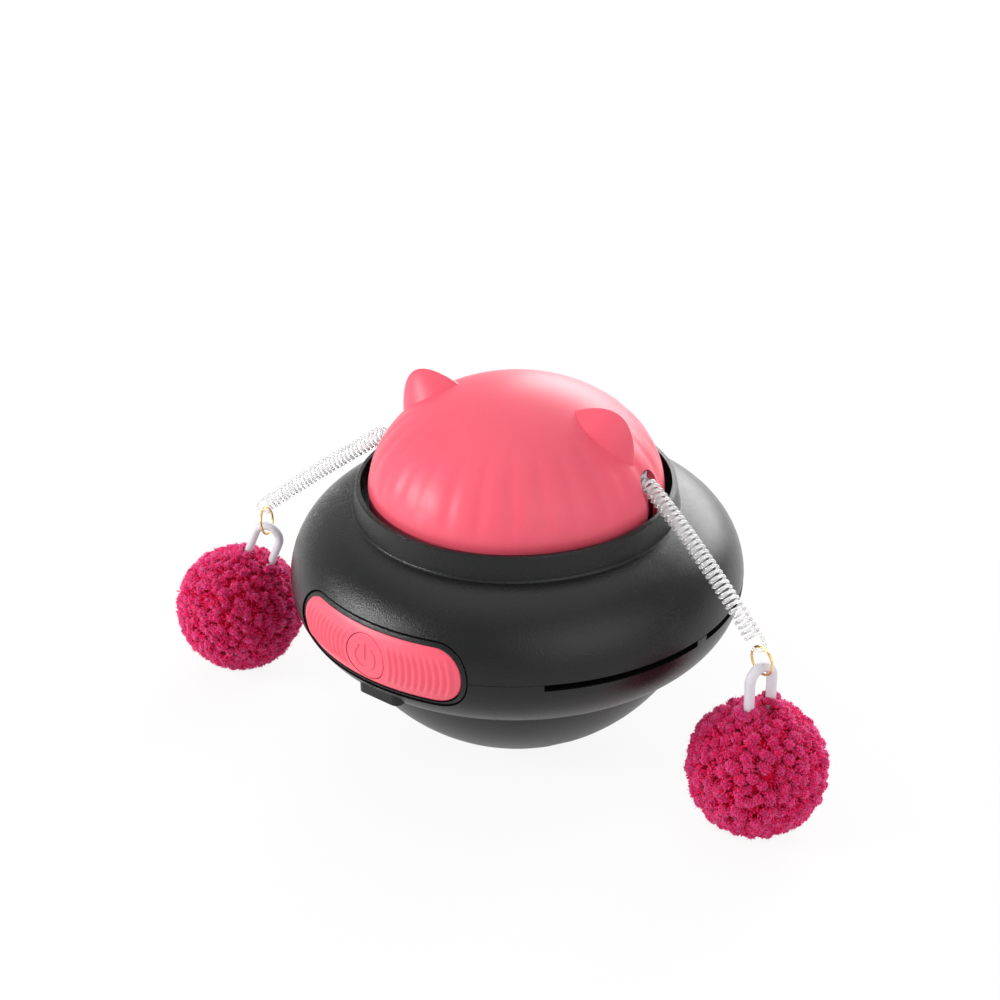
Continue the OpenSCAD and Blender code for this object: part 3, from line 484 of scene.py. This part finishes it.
def makeEar(side):
    deselectAll()
    around, rings = earSet["grid"]
    bpy.ops.mesh.primitive_uv_sphere_add(segments=around, ring_count=rings, radius=1)
    ear = bpy.context.object
    lean, place = math.radians(earSet["lean"]), Vector(earSet["place"])
    across = Vector((math.cos(lean), 0, -math.sin(lean)))
    outward = Vector((math.sin(lean), 0, math.cos(lean)))
    for v in ear.data.vertices:        # the ball becomes a rounded triangle with a soft ridge
        x, y, z = v.co
        up = earSet["height"] * z * z if z > 0 else earSet["sink"] * z
        thick = math.copysign(abs(y) ** earSet["ridge"], y) * earSet["halfThick"]
        v.co = (place + across * earSet["halfLength"] * x + outward * up + Vector((0, thick, 0))) * mm
    if side < 0:
        editAll(ear)
        bpy.ops.transform.mirror(constraint_axis=(True, False, False), center_override=(0, 0, 0))
        bpy.ops.mesh.normals_make_consistent(inside=False)
        bpy.ops.object.mode_set(mode="OBJECT")
    return ear


def turnRound(piece, degrees):
    piece.rotation_euler = (0, 0, math.radians(degrees))
    applyPlace(piece)


def cutNotch(dome, side):
    half, top = domeSet["notchHalf"], domeSet["notchZ"]
    nearMiddle, nearTop = domeSet["notchNear"]
    deselectAll()
    bpy.ops.mesh.primitive_cylinder_add(vertices=64, radius=half * mm, depth=domeSet["notchLong"] * mm,
                                        location=(domeSet["notchAt"] * side * mm, 0, top * mm),
                                        rotation=(0, math.pi / 2, 0))
    arch = bpy.context.object
    applyPlace(arch)
    for v in arch.data.vertices:       # the lower half of the arch is drawn down past the rim
        if v.co.z < (top - nearTop) * mm:
            v.co.z = domeSet["notchFoot"] * mm
            if abs(v.co.y) > nearMiddle * mm:
                v.co.y = math.copysign(half * mm, v.co.y)
    cutWith(dome, arch)


def makeDome():
    radius, height, wall = domeSet["radius"], domeSet["height"], domeSet["wall"]
    widestZ, rimZ = domeSet["widestZ"], domeSet["rimZ"]
    dome = roundBlank("domeCover", radius, height, widestZ, rimZ, *domeSet["grid"])
    pressFlutes(dome)
    for side in (1, -1):
        ear = makeEar(side)
        turnRound(ear, earSet["turn"])
        cutWith(dome, ear, "UNION")
    inner = roundBlank("hollow", radius - wall, height - wall, widestZ, rimZ - 1, *domeSet["innerGrid"])
    for v in inner.data.vertices:      # straight wall below the widest circle
        r = math.hypot(v.co.x, v.co.y)
        if v.co.z < widestZ * mm and r > domeSet["innerFlat"] * mm:
            grow = (radius - wall) * mm / r
            v.co.x, v.co.y = v.co.x * grow, v.co.y * grow
    cutWith(dome, inner)
    for side in (1, -1):
        cutNotch(dome, side)
    turnRound(dome, domeSet["turn"])
    smoothByAngle(dome, domeSet["smooth"])
    return dome


dress(makeDome(), "coral", "rotor", "coral_plastic", "dome_cover")
pins = smoothCopy("spring_pins", "springPins")
editAll(pins)                          # the pins end below the notch's arch
bpy.ops.mesh.bisect(plane_co=(0, 0, domeSet["pinTop"] * mm), plane_no=(0, 0, 1),
                    use_fill=True, clear_outer=True)
bpy.ops.object.mode_set(mode="OBJECT")
dress(pins, "steel", "rotor", "screw_steel", "spring_pins")
print("dome made")

# switch: rippled panel in a black rim, and the button

# the shell's arcs above and below its parting line: middle radius, middle height, arc radius
switchSet = {"midZ": 47.5, "shoulder": (40.0, 46.7, 20.0), "keel": (42.0, 47.2, 18.0)}
panelSet = {
    "length": 53.0, "height": 15.4, "sit": (-0.8, -0.1), "inset": 0.38, "thick": 3.0,
    "edgeRun": 3.0, "edgeDrop": 0.42, "endTrim": 0.02, "grid": (300, 84), "smooth": 40,
    "holeRadius": 6.4, "holeAt": -55.0, "holeLong": 40.0,
    "ripples": 10, "ripplePitch": 1.78, "rippleFirst": 7.3, "rippleBow": 9.5, "rippleHeight": 0.42,
    "rippleEnd": (3.4, 6.0),
}
rimSet = {
    "length": 52.0, "height": 15.0, "sit": (-0.3, -0.35), "inner": 0.3, "outer": 1.6, "inset": 0.42,
    "thick": 1.2, "edgeRun": 0.35, "edgeDrop": 0.25, "grid": (320, 12), "smooth": 50,
}
buttonSet = {
    "radius": 6.2, "sit": (-0.6, -0.3), "inset": 0.45, "thick": 5.0, "dish": 0.18,
    "edgeRun": 0.3, "edgeDrop": 0.2, "grid": (120, 120), "smooth": 40,
    "signRadius": 3.3, "signWidth": 0.7, "signHeight": 0.28, "signGap": 36.0, "signBar": (-0.4, 3.6),
    "signSoft": (0.55, 1.25),
}


def bodyRadius(z, inset):
    r, c, arc = switchSet["shoulder"] if z > shellSet["parting"][1] else switchSet["keel"]
    return r + math.sqrt(max(0.0, (arc - inset) ** 2 - (z - c) ** 2))


def onBody(x, z, inset, spec):
    x, z = x + spec["sit"][0], z + spec["sit"][1] + switchSet["midZ"]
    r = bodyRadius(z, inset)
    return Vector((x, -math.sqrt(r * r - x * x), z)) * mm


def roundOff(toEdge, spec):
    t = 1 - min(1.0, max(0.0, toEdge / spec["edgeRun"]))
    return spec["edgeDrop"] * (1 - math.sqrt(1 - t * t))


def curvedPlate(name, spread, rise, spec):
    # a grid laid on the body's curve and given a back and sides
    deselectAll()
    across, up = spec["grid"]
    bpy.ops.mesh.primitive_grid_add(x_subdivisions=across, y_subdivisions=up, size=2)
    piece = bpy.context.object
    piece.name = name
    for v in piece.data.vertices:
        x, z, toEdge = spread(v.co.x, v.co.y)
        v.co = onBody(x, z, spec["inset"] + roundOff(toEdge, spec) - rise(x, z), spec)
    editAll(piece)
    bpy.ops.mesh.remove_doubles(threshold=1e-7)
    bpy.ops.mesh.normals_make_consistent(inside=False)
    bpy.ops.mesh.extrude_region_move(TRANSFORM_OT_translate={"value": (0, spec["thick"] * mm, 0)})
    bpy.ops.mesh.select_all(action="SELECT")
    bpy.ops.mesh.normals_make_consistent(inside=False)
    bpy.ops.object.mode_set(mode="OBJECT")
    return piece


def stadium(u, v):
    half, r = (panelSet["length"] - panelSet["height"]) / 2, panelSet["height"] / 2
    run = u * (half + r * math.pi / 2)
    if abs(run) <= half:
        x, tall = run, r
    else:
        bend = min(math.pi / 2 - panelSet["endTrim"], (abs(run) - half) / r)
        x, tall = math.copysign(half + r * math.sin(bend), run), r * math.cos(bend)
    z = v * tall
    toEdge = r - math.hypot(max(0.0, abs(x) - half), z) if abs(x) > half else r - abs(z)
    return x, z, toEdge


def roundStadium(u, v):
    # u goes once round the panel, v from the rim's inner to its outer edge
    wide = rimSet["outer"] - rimSet["inner"]
    half = (rimSet["length"] - rimSet["height"]) / 2
    r = rimSet["height"] / 2 + rimSet["inner"] + wide * (v + 1) / 2
    straight, bend = 2 * half, math.pi * rimSet["height"] / 2
    run = (u + 1) / 2 * 2 * (straight + bend)
    side = 1 if run < straight + bend else -1
    run -= 0 if side > 0 else straight + bend
    if run < straight:
        x, z = -half + run, r
    else:
        turn = (run - straight) / bend * math.pi
        x, z = half + r * math.sin(turn), r * math.cos(turn)
    return side * x, side * z, wide / 2 * (1 - abs(v))


def disc(u, v):
    r = buttonSet["radius"]
    x, z = u * math.sqrt(1 - v * v / 2) * r, v * math.sqrt(1 - u * u / 2) * r
    return x, z, r - math.hypot(x, z)


def rippleRise(x, z):
    x, z = [p + q - o for p, q, o in zip((x, z), panelSet["sit"], buttonSet["sit"])]
    bow = panelSet["rippleBow"]
    out = abs(x) + bow - math.sqrt(max(0.0, bow * bow - z * z))
    count = (out - panelSet["rippleFirst"]) / panelSet["ripplePitch"]
    if count < 0 or count > panelSet["ripples"]:
        return 0.0
    fade = 1 - smoothStep(*panelSet["rippleEnd"], abs(z))
    return panelSet["rippleHeight"] * fade * (0.5 - 0.5 * math.cos(2 * math.pi * count))


def signRise(x, z):
    # the usual power mark: an open circle and a bar
    r, wide = math.hypot(x, z), buttonSet["signWidth"] / 2
    off = abs(r - buttonSet["signRadius"])
    if abs(math.degrees(math.atan2(x, z))) < buttonSet["signGap"]:
        off = math.inf
    foot, head = buttonSet["signBar"]
    near = min(off, math.hypot(x, max(0.0, foot - z, z - head)))
    dish = -buttonSet["dish"] * (1 - (r / buttonSet["radius"]) ** 2)
    crisp, soft = buttonSet["signSoft"]
    return dish + buttonSet["signHeight"] * (1 - smoothStep(wide * crisp, wide * soft, near))


panel = curvedPlate("switchPanel", stadium, rippleRise, panelSet)
deselectAll()
holeX, holeZ = buttonSet["sit"][0], buttonSet["sit"][1] + switchSet["midZ"]
bpy.ops.mesh.primitive_cylinder_add(vertices=96, radius=panelSet["holeRadius"] * mm,
                                    depth=panelSet["holeLong"] * mm,
                                    location=(holeX * mm, panelSet["holeAt"] * mm, holeZ * mm),
                                    rotation=(math.pi / 2, 0, 0))
hole = bpy.context.object
applyPlace(hole)
cutWith(panel, hole)
smoothByAngle(panel, panelSet["smooth"])
dress(panel, "coral", "base", "coral_plastic", "switch_panel")
rim = curvedPlate("panelRim", roundStadium, lambda x, z: 0.0, rimSet)
smoothByAngle(rim, rimSet["smooth"])
dress(rim, "shell", "base", "shell_black")
button = curvedPlate("powerButton", disc, signRise, buttonSet)
smoothByAngle(button, buttonSet["smooth"])
dress(button, "coral", "button", "coral_plastic", "power_button")
print("switch made")

# arms: coils, rings, loops and pom-poms

armSet = {
    "right": {"turn": -14.5, "length": 49.1, "droop": (25.0, 37.0), "hookSide": 90.0,
              "linkYaw": 0.0, "ringTilt": 0.0, "lean": 0.0},
    "left": {"turn": 201.5, "length": 44.8, "droop": (35.0, 39.0), "hookSide": 0.0,
             "linkYaw": 90.0, "ringTilt": 8.0, "lean": -22.5},
}
coilSet = {
    "outer": 4.7, "wire": 0.95, "thread": 0.84, "turns": 31, "perTurn": 26, "roundness": 3,
    "inside": 300.0, "closed": 0.3, "taper": (0.86, 700.0),
    "lead": 2.2, "leadSteps": 8, "from": 60.0, "pull": 3.0, "slopeStep": 5.0,
    "sweep": 165.0, "hookSteps": 16, "blendTo": 0.75,
}
ringSet = {"middle": 3.7, "wire": 0.64, "cut": 2.2, "cutAt": 100.0, "grid": (180, 20), "smooth": 40}
loopSet = {
    "cord": {"right": 2.7, "left": 2.3}, "width": 7.2, "height": 11.5, "sink": 3.0, "seat": 1.775,
    "legSteps": 10, "bendSteps": 24, "roundness": 6,
}


def jointSpot(name):
    return [c / mm for joint in frame["joints"] if joint["name"] == name for c in joint["pos_m"]]


for side, arm in armSet.items():       # a coil starts where it bends, a pom-pom hangs where it swings
    arm["root"] = jointSpot(side + "_flex")
    arm["ringLow"] = jointSpot(side + "_pom_swing")


def coilPoints(arm):
    rate = (arm["droop"][1] - arm["droop"][0]) / arm["length"]
    mid = (coilSet["outer"] - coilSet["wire"]) / 2
    pitch = (arm["length"] - coilSet["wire"]) / coilSet["turns"]

    def bend(s):
        return math.radians(arm["droop"][0] + rate * s)

    def axis(s):
        k, a = math.radians(rate), bend(0)
        return Vector((math.sin(bend(s)) - math.sin(a), 0, math.cos(bend(s)) - math.cos(a))) / k

    def onward(s):
        return Vector((math.cos(bend(s)), 0, -math.sin(bend(s))))

    def outward(s, degrees):
        a = math.radians(degrees)
        return Vector((math.sin(bend(s)) * math.cos(a), math.sin(a), math.cos(bend(s)) * math.cos(a)))

    def place(degrees):
        # the first turn is nearly closed
        rise = pitch if degrees > 0 else coilSet["closed"] * coilSet["wire"]
        s = coilSet["wire"] + rise * degrees / 360
        least, upTo = coilSet["taper"]
        wide = least + (1 - least) * smoothStep(-coilSet["inside"], upTo, degrees)
        return axis(s) + mid * wide * outward(s, degrees)

    end = 360 * coilSet["turns"] + arm["hookSide"] - coilSet["from"]
    hookS = coilSet["wire"] + pitch * end / 360 + coilSet["lead"]

    def hook(degrees):
        f = math.radians(degrees)
        aside = outward(hookS, arm["hookSide"])
        return axis(hookS) + mid * (math.cos(f) * aside + math.sin(f) * onward(hookS))

    first = -coilSet["inside"]         # the first turn lies at the dome's notch
    steps = int((end - first) * coilSet["perTurn"] / 360)
    points = [place(first + (end - first) * i / steps) for i in range(steps + 1)]
    p0, p1 = place(end), hook(0)
    m0 = coilSet["pull"] * (p0 - place(end - coilSet["slopeStep"])).normalized()
    m1 = coilSet["pull"] * onward(hookS)
    for i in range(coilSet["leadSteps"]):    # an even curve leads from the last turn to the hook
        u = (i + 1) / coilSet["leadSteps"]
        points.append((2 * u ** 3 - 3 * u * u + 1) * p0 + (u ** 3 - 2 * u * u + u) * m0
                      + (3 * u * u - 2 * u ** 3) * p1 + (u ** 3 - u * u) * m1)
    sweep, steps = coilSet["sweep"], coilSet["hookSteps"]
    points += [hook(sweep * (i + 1) / steps) for i in range(steps)]
    points.append(hook(sweep) + coilSet["wire"] * (hook(sweep) - hook(sweep - 1)).normalized())
    spin = Matrix.Rotation(math.radians(arm["turn"]), 3, "Z")
    return [(spin @ p + Vector(arm["root"])) * mm for p in points]


def tubeAlong(name, points, radius, roundness, degrees=50):
    line = bpy.data.curves.new(name, "CURVE")
    line.dimensions = "3D"
    line.bevel_depth, line.bevel_resolution, line.use_fill_caps = radius, roundness, True
    run = line.splines.new("POLY")
    run.points.add(len(points) - 1)
    for spot, p in zip(run.points, points):
        spot.co = (*p, 1)
    piece = bpy.data.objects.new(name, line)
    bpy.context.scene.collection.objects.link(piece)
    activate(piece)
    bpy.ops.object.convert(target="MESH")
    piece = bpy.context.object
    piece.data.name = name
    editAll(piece)
    bpy.ops.mesh.remove_doubles(threshold=1e-6)
    bpy.ops.mesh.normals_make_consistent(inside=False)
    bpy.ops.object.mode_set(mode="OBJECT")
    smoothByAngle(piece, degrees)
    return piece


def makeCoil(side, arm):
    points = coilPoints(arm)
    coil = tubeAlong("coilSpring_" + side, points, coilSet["thread"] / 2 * mm, coilSet["roundness"])
    dress(coil, "clear", None, "clear_plastic", "coil_spring_" + side)
    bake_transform(coil)


def makeRing(side, arm):
    deselectAll()
    mid = ringSet["middle"]
    around, across = ringSet["grid"]
    bpy.ops.mesh.primitive_torus_add(major_segments=around, minor_segments=across, major_radius=mid * mm,
                                     minor_radius=ringSet["wire"] / 2 * mm)
    ring = bpy.context.object
    ring.name = "linkRing_" + side
    pickNothing(ring)                  # a bent ring has a fine cut where its ends meet
    for face in ring.data.polygons:
        a = math.degrees(math.atan2(face.center.y, face.center.x))
        face.select = abs(a - ringSet["cutAt"]) < ringSet["cut"] / 2
    bpy.ops.object.mode_set(mode="EDIT")
    bpy.ops.mesh.delete(type="FACE")
    bpy.ops.mesh.select_all(action="SELECT")
    bpy.ops.mesh.fill_holes(sides=0)
    bpy.ops.mesh.normals_make_consistent(inside=False)
    bpy.ops.object.mode_set(mode="OBJECT")
    tilt = math.radians(arm["ringTilt"])
    low = Vector(arm["ringLow"])
    spin = Matrix.Rotation(math.radians(arm["turn"]), 4, "Z")
    down = spin.to_3x3() @ Vector((-math.sin(tilt), 0, -math.cos(tilt)))
    stand = (spin @ Matrix.Rotation(tilt, 4, "Y") @ Matrix.Rotation(math.radians(arm["linkYaw"]), 4, "Z")
             @ Matrix.Rotation(math.pi / 2, 4, "X"))
    ring.matrix_world = Matrix.Translation((low - down * mid) * mm) @ stand
    applyPlace(ring)
    smoothByAngle(ring, ringSet["smooth"])
    dress(ring, "gold", "ring_" + side, "ring_gold", "link_ring_" + side)


def pomFrame(arm):
    return (Matrix.Translation(Vector(arm["ringLow"]) * mm)
            @ Matrix.Rotation(math.radians(arm["turn"] + arm["linkYaw"]), 4, "Z")
            @ Matrix.Rotation(math.radians(arm["lean"]), 4, "X")
            @ Matrix.Translation((0, 0, loopSet["seat"] * mm)))


def makeLoop(side, arm):
    half, low = loopSet["width"] / 2, -loopSet["height"] - loopSet["sink"]
    steps, bends = loopSet["legSteps"], loopSet["bendSteps"]
    leg = [low + i * (loopSet["height"] + loopSet["sink"] - half) / steps for i in range(steps)]
    points = [Vector((0, -half, z)) for z in leg]
    for i in range(bends + 1):
        a = math.pi * i / bends
        points.append(Vector((0, -half * math.cos(a), -half + half * math.sin(a))))
    points += [Vector((0, half, z)) for z in reversed(leg)]
    place, radius = pomFrame(arm), loopSet["cord"][side] / 2 * mm
    loop = tubeAlong("hangerLoop_" + side, [place @ (p * mm) for p in points], radius, loopSet["roundness"])
    dress(loop, "cord", "pom_" + side, "loop_cord", "hanger_loop_" + side)


pomSet = {
    "right": {"tufts": 410, "width": (1.35, 1.85), "reach": 18.5, "uneven": 0.6,
              "strands": 54, "hairs": 34, "legRise": 1.8, "seed": 11},
    "left": {"tufts": 520, "width": (1.15, 1.5), "reach": 18.2, "uneven": 0.4,
             "strands": 36, "hairs": 30, "legRise": 2.2, "seed": 29},
    "tuftTone": (0.4, 0.25), "tuftShift": 0.3, "tuftRoot": 1.1, "tuftOpen": 0.9, "scatter": 0.03, "heart": 0.92,
    "strandRadius": 0.25, "strandThick": (0.7, 1.3), "strandReach": (0.88, 1.08), "strandTone": 0.18,
    "strandTwist": 2.1, "corners": (0, 2.094, 4.189),    # a strand is three-sided
    "hairRadius": 0.06, "hairLength": (0.3, 0.9), "hairRoot": 0.6, "hairShift": 0.2,
    "core": 15.4, "coreLump": 0.5, "coreLumps": 900,
    "fill": 6500, "fillReach": (17.0, 17.8), "fillSink": 0.6, "fillShift": 0.25, "fillTone": (0.25, 0.2),
    "legTufts": 8, "legGap": 2.0, "legReach": (0.6, 1.2), "floorGap": 0.1,
    # places on the yarn's ramp, from the painted shade deep in the yarn to the painted light at the tips, at a
    # strand's point and its three-sided end
    "heartShare": 0.55, "strandShare": (0.3, 0.95), "hairShare": (1.0, 0.7), "fillShare": (0.1, 0.6),
}


def makeCore(centre):
    deselectAll()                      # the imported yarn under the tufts
    bpy.ops.mesh.primitive_ico_sphere_add(subdivisions=4, radius=pomSet["core"] * mm, location=centre)
    core = bpy.context.object
    applyPlace(core)
    for v in core.data.vertices:
        lump = noise.noise(v.co * pomSet["coreLumps"]) * pomSet["coreLump"] * mm
        v.co += (v.co - centre).normalized() * lump
    bpy.ops.object.shade_smooth()
    # the core's ramp value stays at zero, the darkest painted shade of the yarn
    for name in ("along", "tuftTone"):
        core.data.attributes.new(name, "FLOAT", "POINT")
    return core


def makePom(side, arm):
    spec = pomSet[side]
    dice = random.Random(spec["seed"])
    low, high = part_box("pompom_" + side)
    centre = (low + high) / 2
    points, faces, along, tone = [], [], [], []
    deselectAll()                      # every tuft has a small ball as its heart
    bpy.ops.mesh.primitive_ico_sphere_add(subdivisions=1, radius=1)
    ball = bpy.context.object
    heart = [v.co.copy() for v in ball.data.vertices], [tuple(f.vertices) for f in ball.data.polygons]
    bpy.data.objects.remove(ball)

    def anyWay(size):
        return Vector([dice.gauss(0, size) for _ in range(3)])

    def put(p, share, shade):
        spot = centre + p * mm
        spot.z = max(spot.z, pomSet["floorGap"] * mm)
        points.append(spot)
        along.append(share)
        tone.append(min(1.0, max(0.0, shade)))
        return len(points) - 1

    def strand(single, trio, radius, shares, shade):
        # a sliver of yarn: one end is a point, the other a small three-sided face
        out = (trio - single).normalized()
        b1 = out.orthogonal().normalized()
        b1.rotate(Matrix.Rotation(dice.random() * pomSet["strandTwist"], 3, out))
        b2 = out.cross(b1)
        tip = put(single, shares[0], shade)
        ring = [trio + (b1 * math.cos(t) + b2 * math.sin(t)) * radius for t in pomSet["corners"]]
        a, b, c = [put(p, shares[1], shade) for p in ring]
        faces.extend(((a, b, c), (b, a, tip), (c, b, tip), (a, c, tip)))

    def tuft(way, top, wide):
        side1 = way.orthogonal().normalized()
        side2 = way.cross(side1)
        shade, shift = dice.gauss(*pomSet["tuftTone"]), pomSet["tuftShift"]
        middle = way * (top - wide) + side1 * dice.gauss(0, shift) + side2 * dice.gauss(0, shift)
        root = middle - way * pomSet["tuftRoot"]
        seat = len(points)
        for corner in heart[0]:
            put(middle + corner * wide * pomSet["heart"], pomSet["heartShare"], shade)
        faces.extend(tuple(seat + n for n in face) for face in heart[1])
        for k in range(spec["strands"] + spec["hairs"]):
            a, spread = dice.random() * 2 * math.pi, math.acos(1 - dice.random() * pomSet["tuftOpen"])
            out = way * math.cos(spread) + (side1 * math.cos(a) + side2 * math.sin(a)) * math.sin(spread)
            tint = shade + dice.gauss(0, pomSet["strandTone"])
            if k < spec["strands"]:
                end = middle + out * wide * dice.uniform(*pomSet["strandReach"])
                thick = pomSet["strandRadius"] * dice.uniform(*pomSet["strandThick"])
                strand(root, end, thick, pomSet["strandShare"], tint)
            else:
                end = middle + out * (wide + dice.uniform(*pomSet["hairLength"]))
                end += anyWay(pomSet["hairShift"])
                foot = middle + out * wide * pomSet["hairRoot"]
                strand(end, foot, pomSet["hairRadius"], pomSet["hairShare"], tint)

    turn = pomFrame(arm).to_3x3()
    legs = [(turn @ Vector((0, y * loopSet["width"] / 2, pomSet["core"]))).normalized() for y in (-1, 1)]
    golden = math.pi * (3 - math.sqrt(5))
    for i in range(spec["tufts"]):
        z = 1 - 2 * (i + 0.5) / spec["tufts"]
        r, a = math.sqrt(1 - z * z), golden * i
        way = Vector((r * math.cos(a), r * math.sin(a), z)) + anyWay(pomSet["scatter"])
        top = spec["reach"] - abs(dice.gauss(0, spec["uneven"]))
        tuft(way.normalized(), top, dice.uniform(*spec["width"]))
    for leg in legs:                   # yarn gathers round the loop's legs
        side1 = leg.orthogonal().normalized()
        side2 = leg.cross(side1)
        for k in range(pomSet["legTufts"]):
            a = 2 * math.pi * k / pomSet["legTufts"]
            way = leg * spec["reach"] + (side1 * math.cos(a) + side2 * math.sin(a)) * pomSet["legGap"]
            top = spec["reach"] + spec["legRise"] * dice.uniform(*pomSet["legReach"])
            tuft(way.normalized(), top, spec["width"][0])
    for _ in range(pomSet["fill"]):    # shorter ends between the tufts
        way = anyWay(1).normalized()
        end = way * dice.uniform(*pomSet["fillReach"]) + anyWay(pomSet["fillShift"])
        foot, shade = way * (pomSet["core"] - pomSet["fillSink"]), dice.gauss(*pomSet["fillTone"])
        strand(foot, end, pomSet["strandRadius"], pomSet["fillShare"], shade)
    pom = meshPiece("pompom_yarn_" + side, points, faces)
    activate(pom)
    bpy.ops.object.shade_smooth()
    # the ramp values carry the painted shade deep in the yarn and the painted light at the tips; the tuft tones
    # are the yarn's own uneven colour
    for name, values in (("along", along), ("tuftTone", tone)):
        pom.data.attributes.new(name, "FLOAT", "POINT").data.foreach_set("value", values)
    core = makeCore(centre)
    deselectAll()
    core.select_set(True)
    pom.select_set(True)
    bpy.context.view_layer.objects.active = pom
    bpy.ops.object.join()
    pom = bpy.context.object
    dress(pom, "yarn", "pom_" + side, "yarn", "pompom_" + side)
    print("pom-pom", side, sum(len(f.vertices) - 2 for f in pom.data.polygons), "triangles")


for side, arm in armSet.items():
    makeCoil(side, arm)
    makeRing(side, arm)
    makeLoop(side, arm)
    makePom(side, arm)
print("arms made")

# inner pieces keep their solids and get a finish each

innerFinish = {
    "iron": ["counterweight"],
    "steel": ["weight_screw", "base_screws", "shell_screws", "gear_plate_screws", "motor_screws", "motor_shaft",
              "idler_axle", "drive_shaft", "board_screws", "rotor_screws", "charge_socket", "shaft_clip"],
    "can": ["motor"],
    "brass": ["lower_bush", "upper_bush"],
    "ivory": ["gear_plate", "motor_pinion", "idler_gear", "output_gear"],
    "foil": ["battery"],
    "board": ["switch_board", "circuit_board"],
    "switch": ["tact_switch"],
    "coral": ["rotor_plate"],
    "clear": ["coil_anchor_right", "coil_anchor_left"],
}
for finish, names in innerFinish.items():
    for name in names:
        node = frame["nodes"][name]
        node.data.materials.clear()
        node.data.materials.append(finishes[finish])
print("inner pieces dressed")
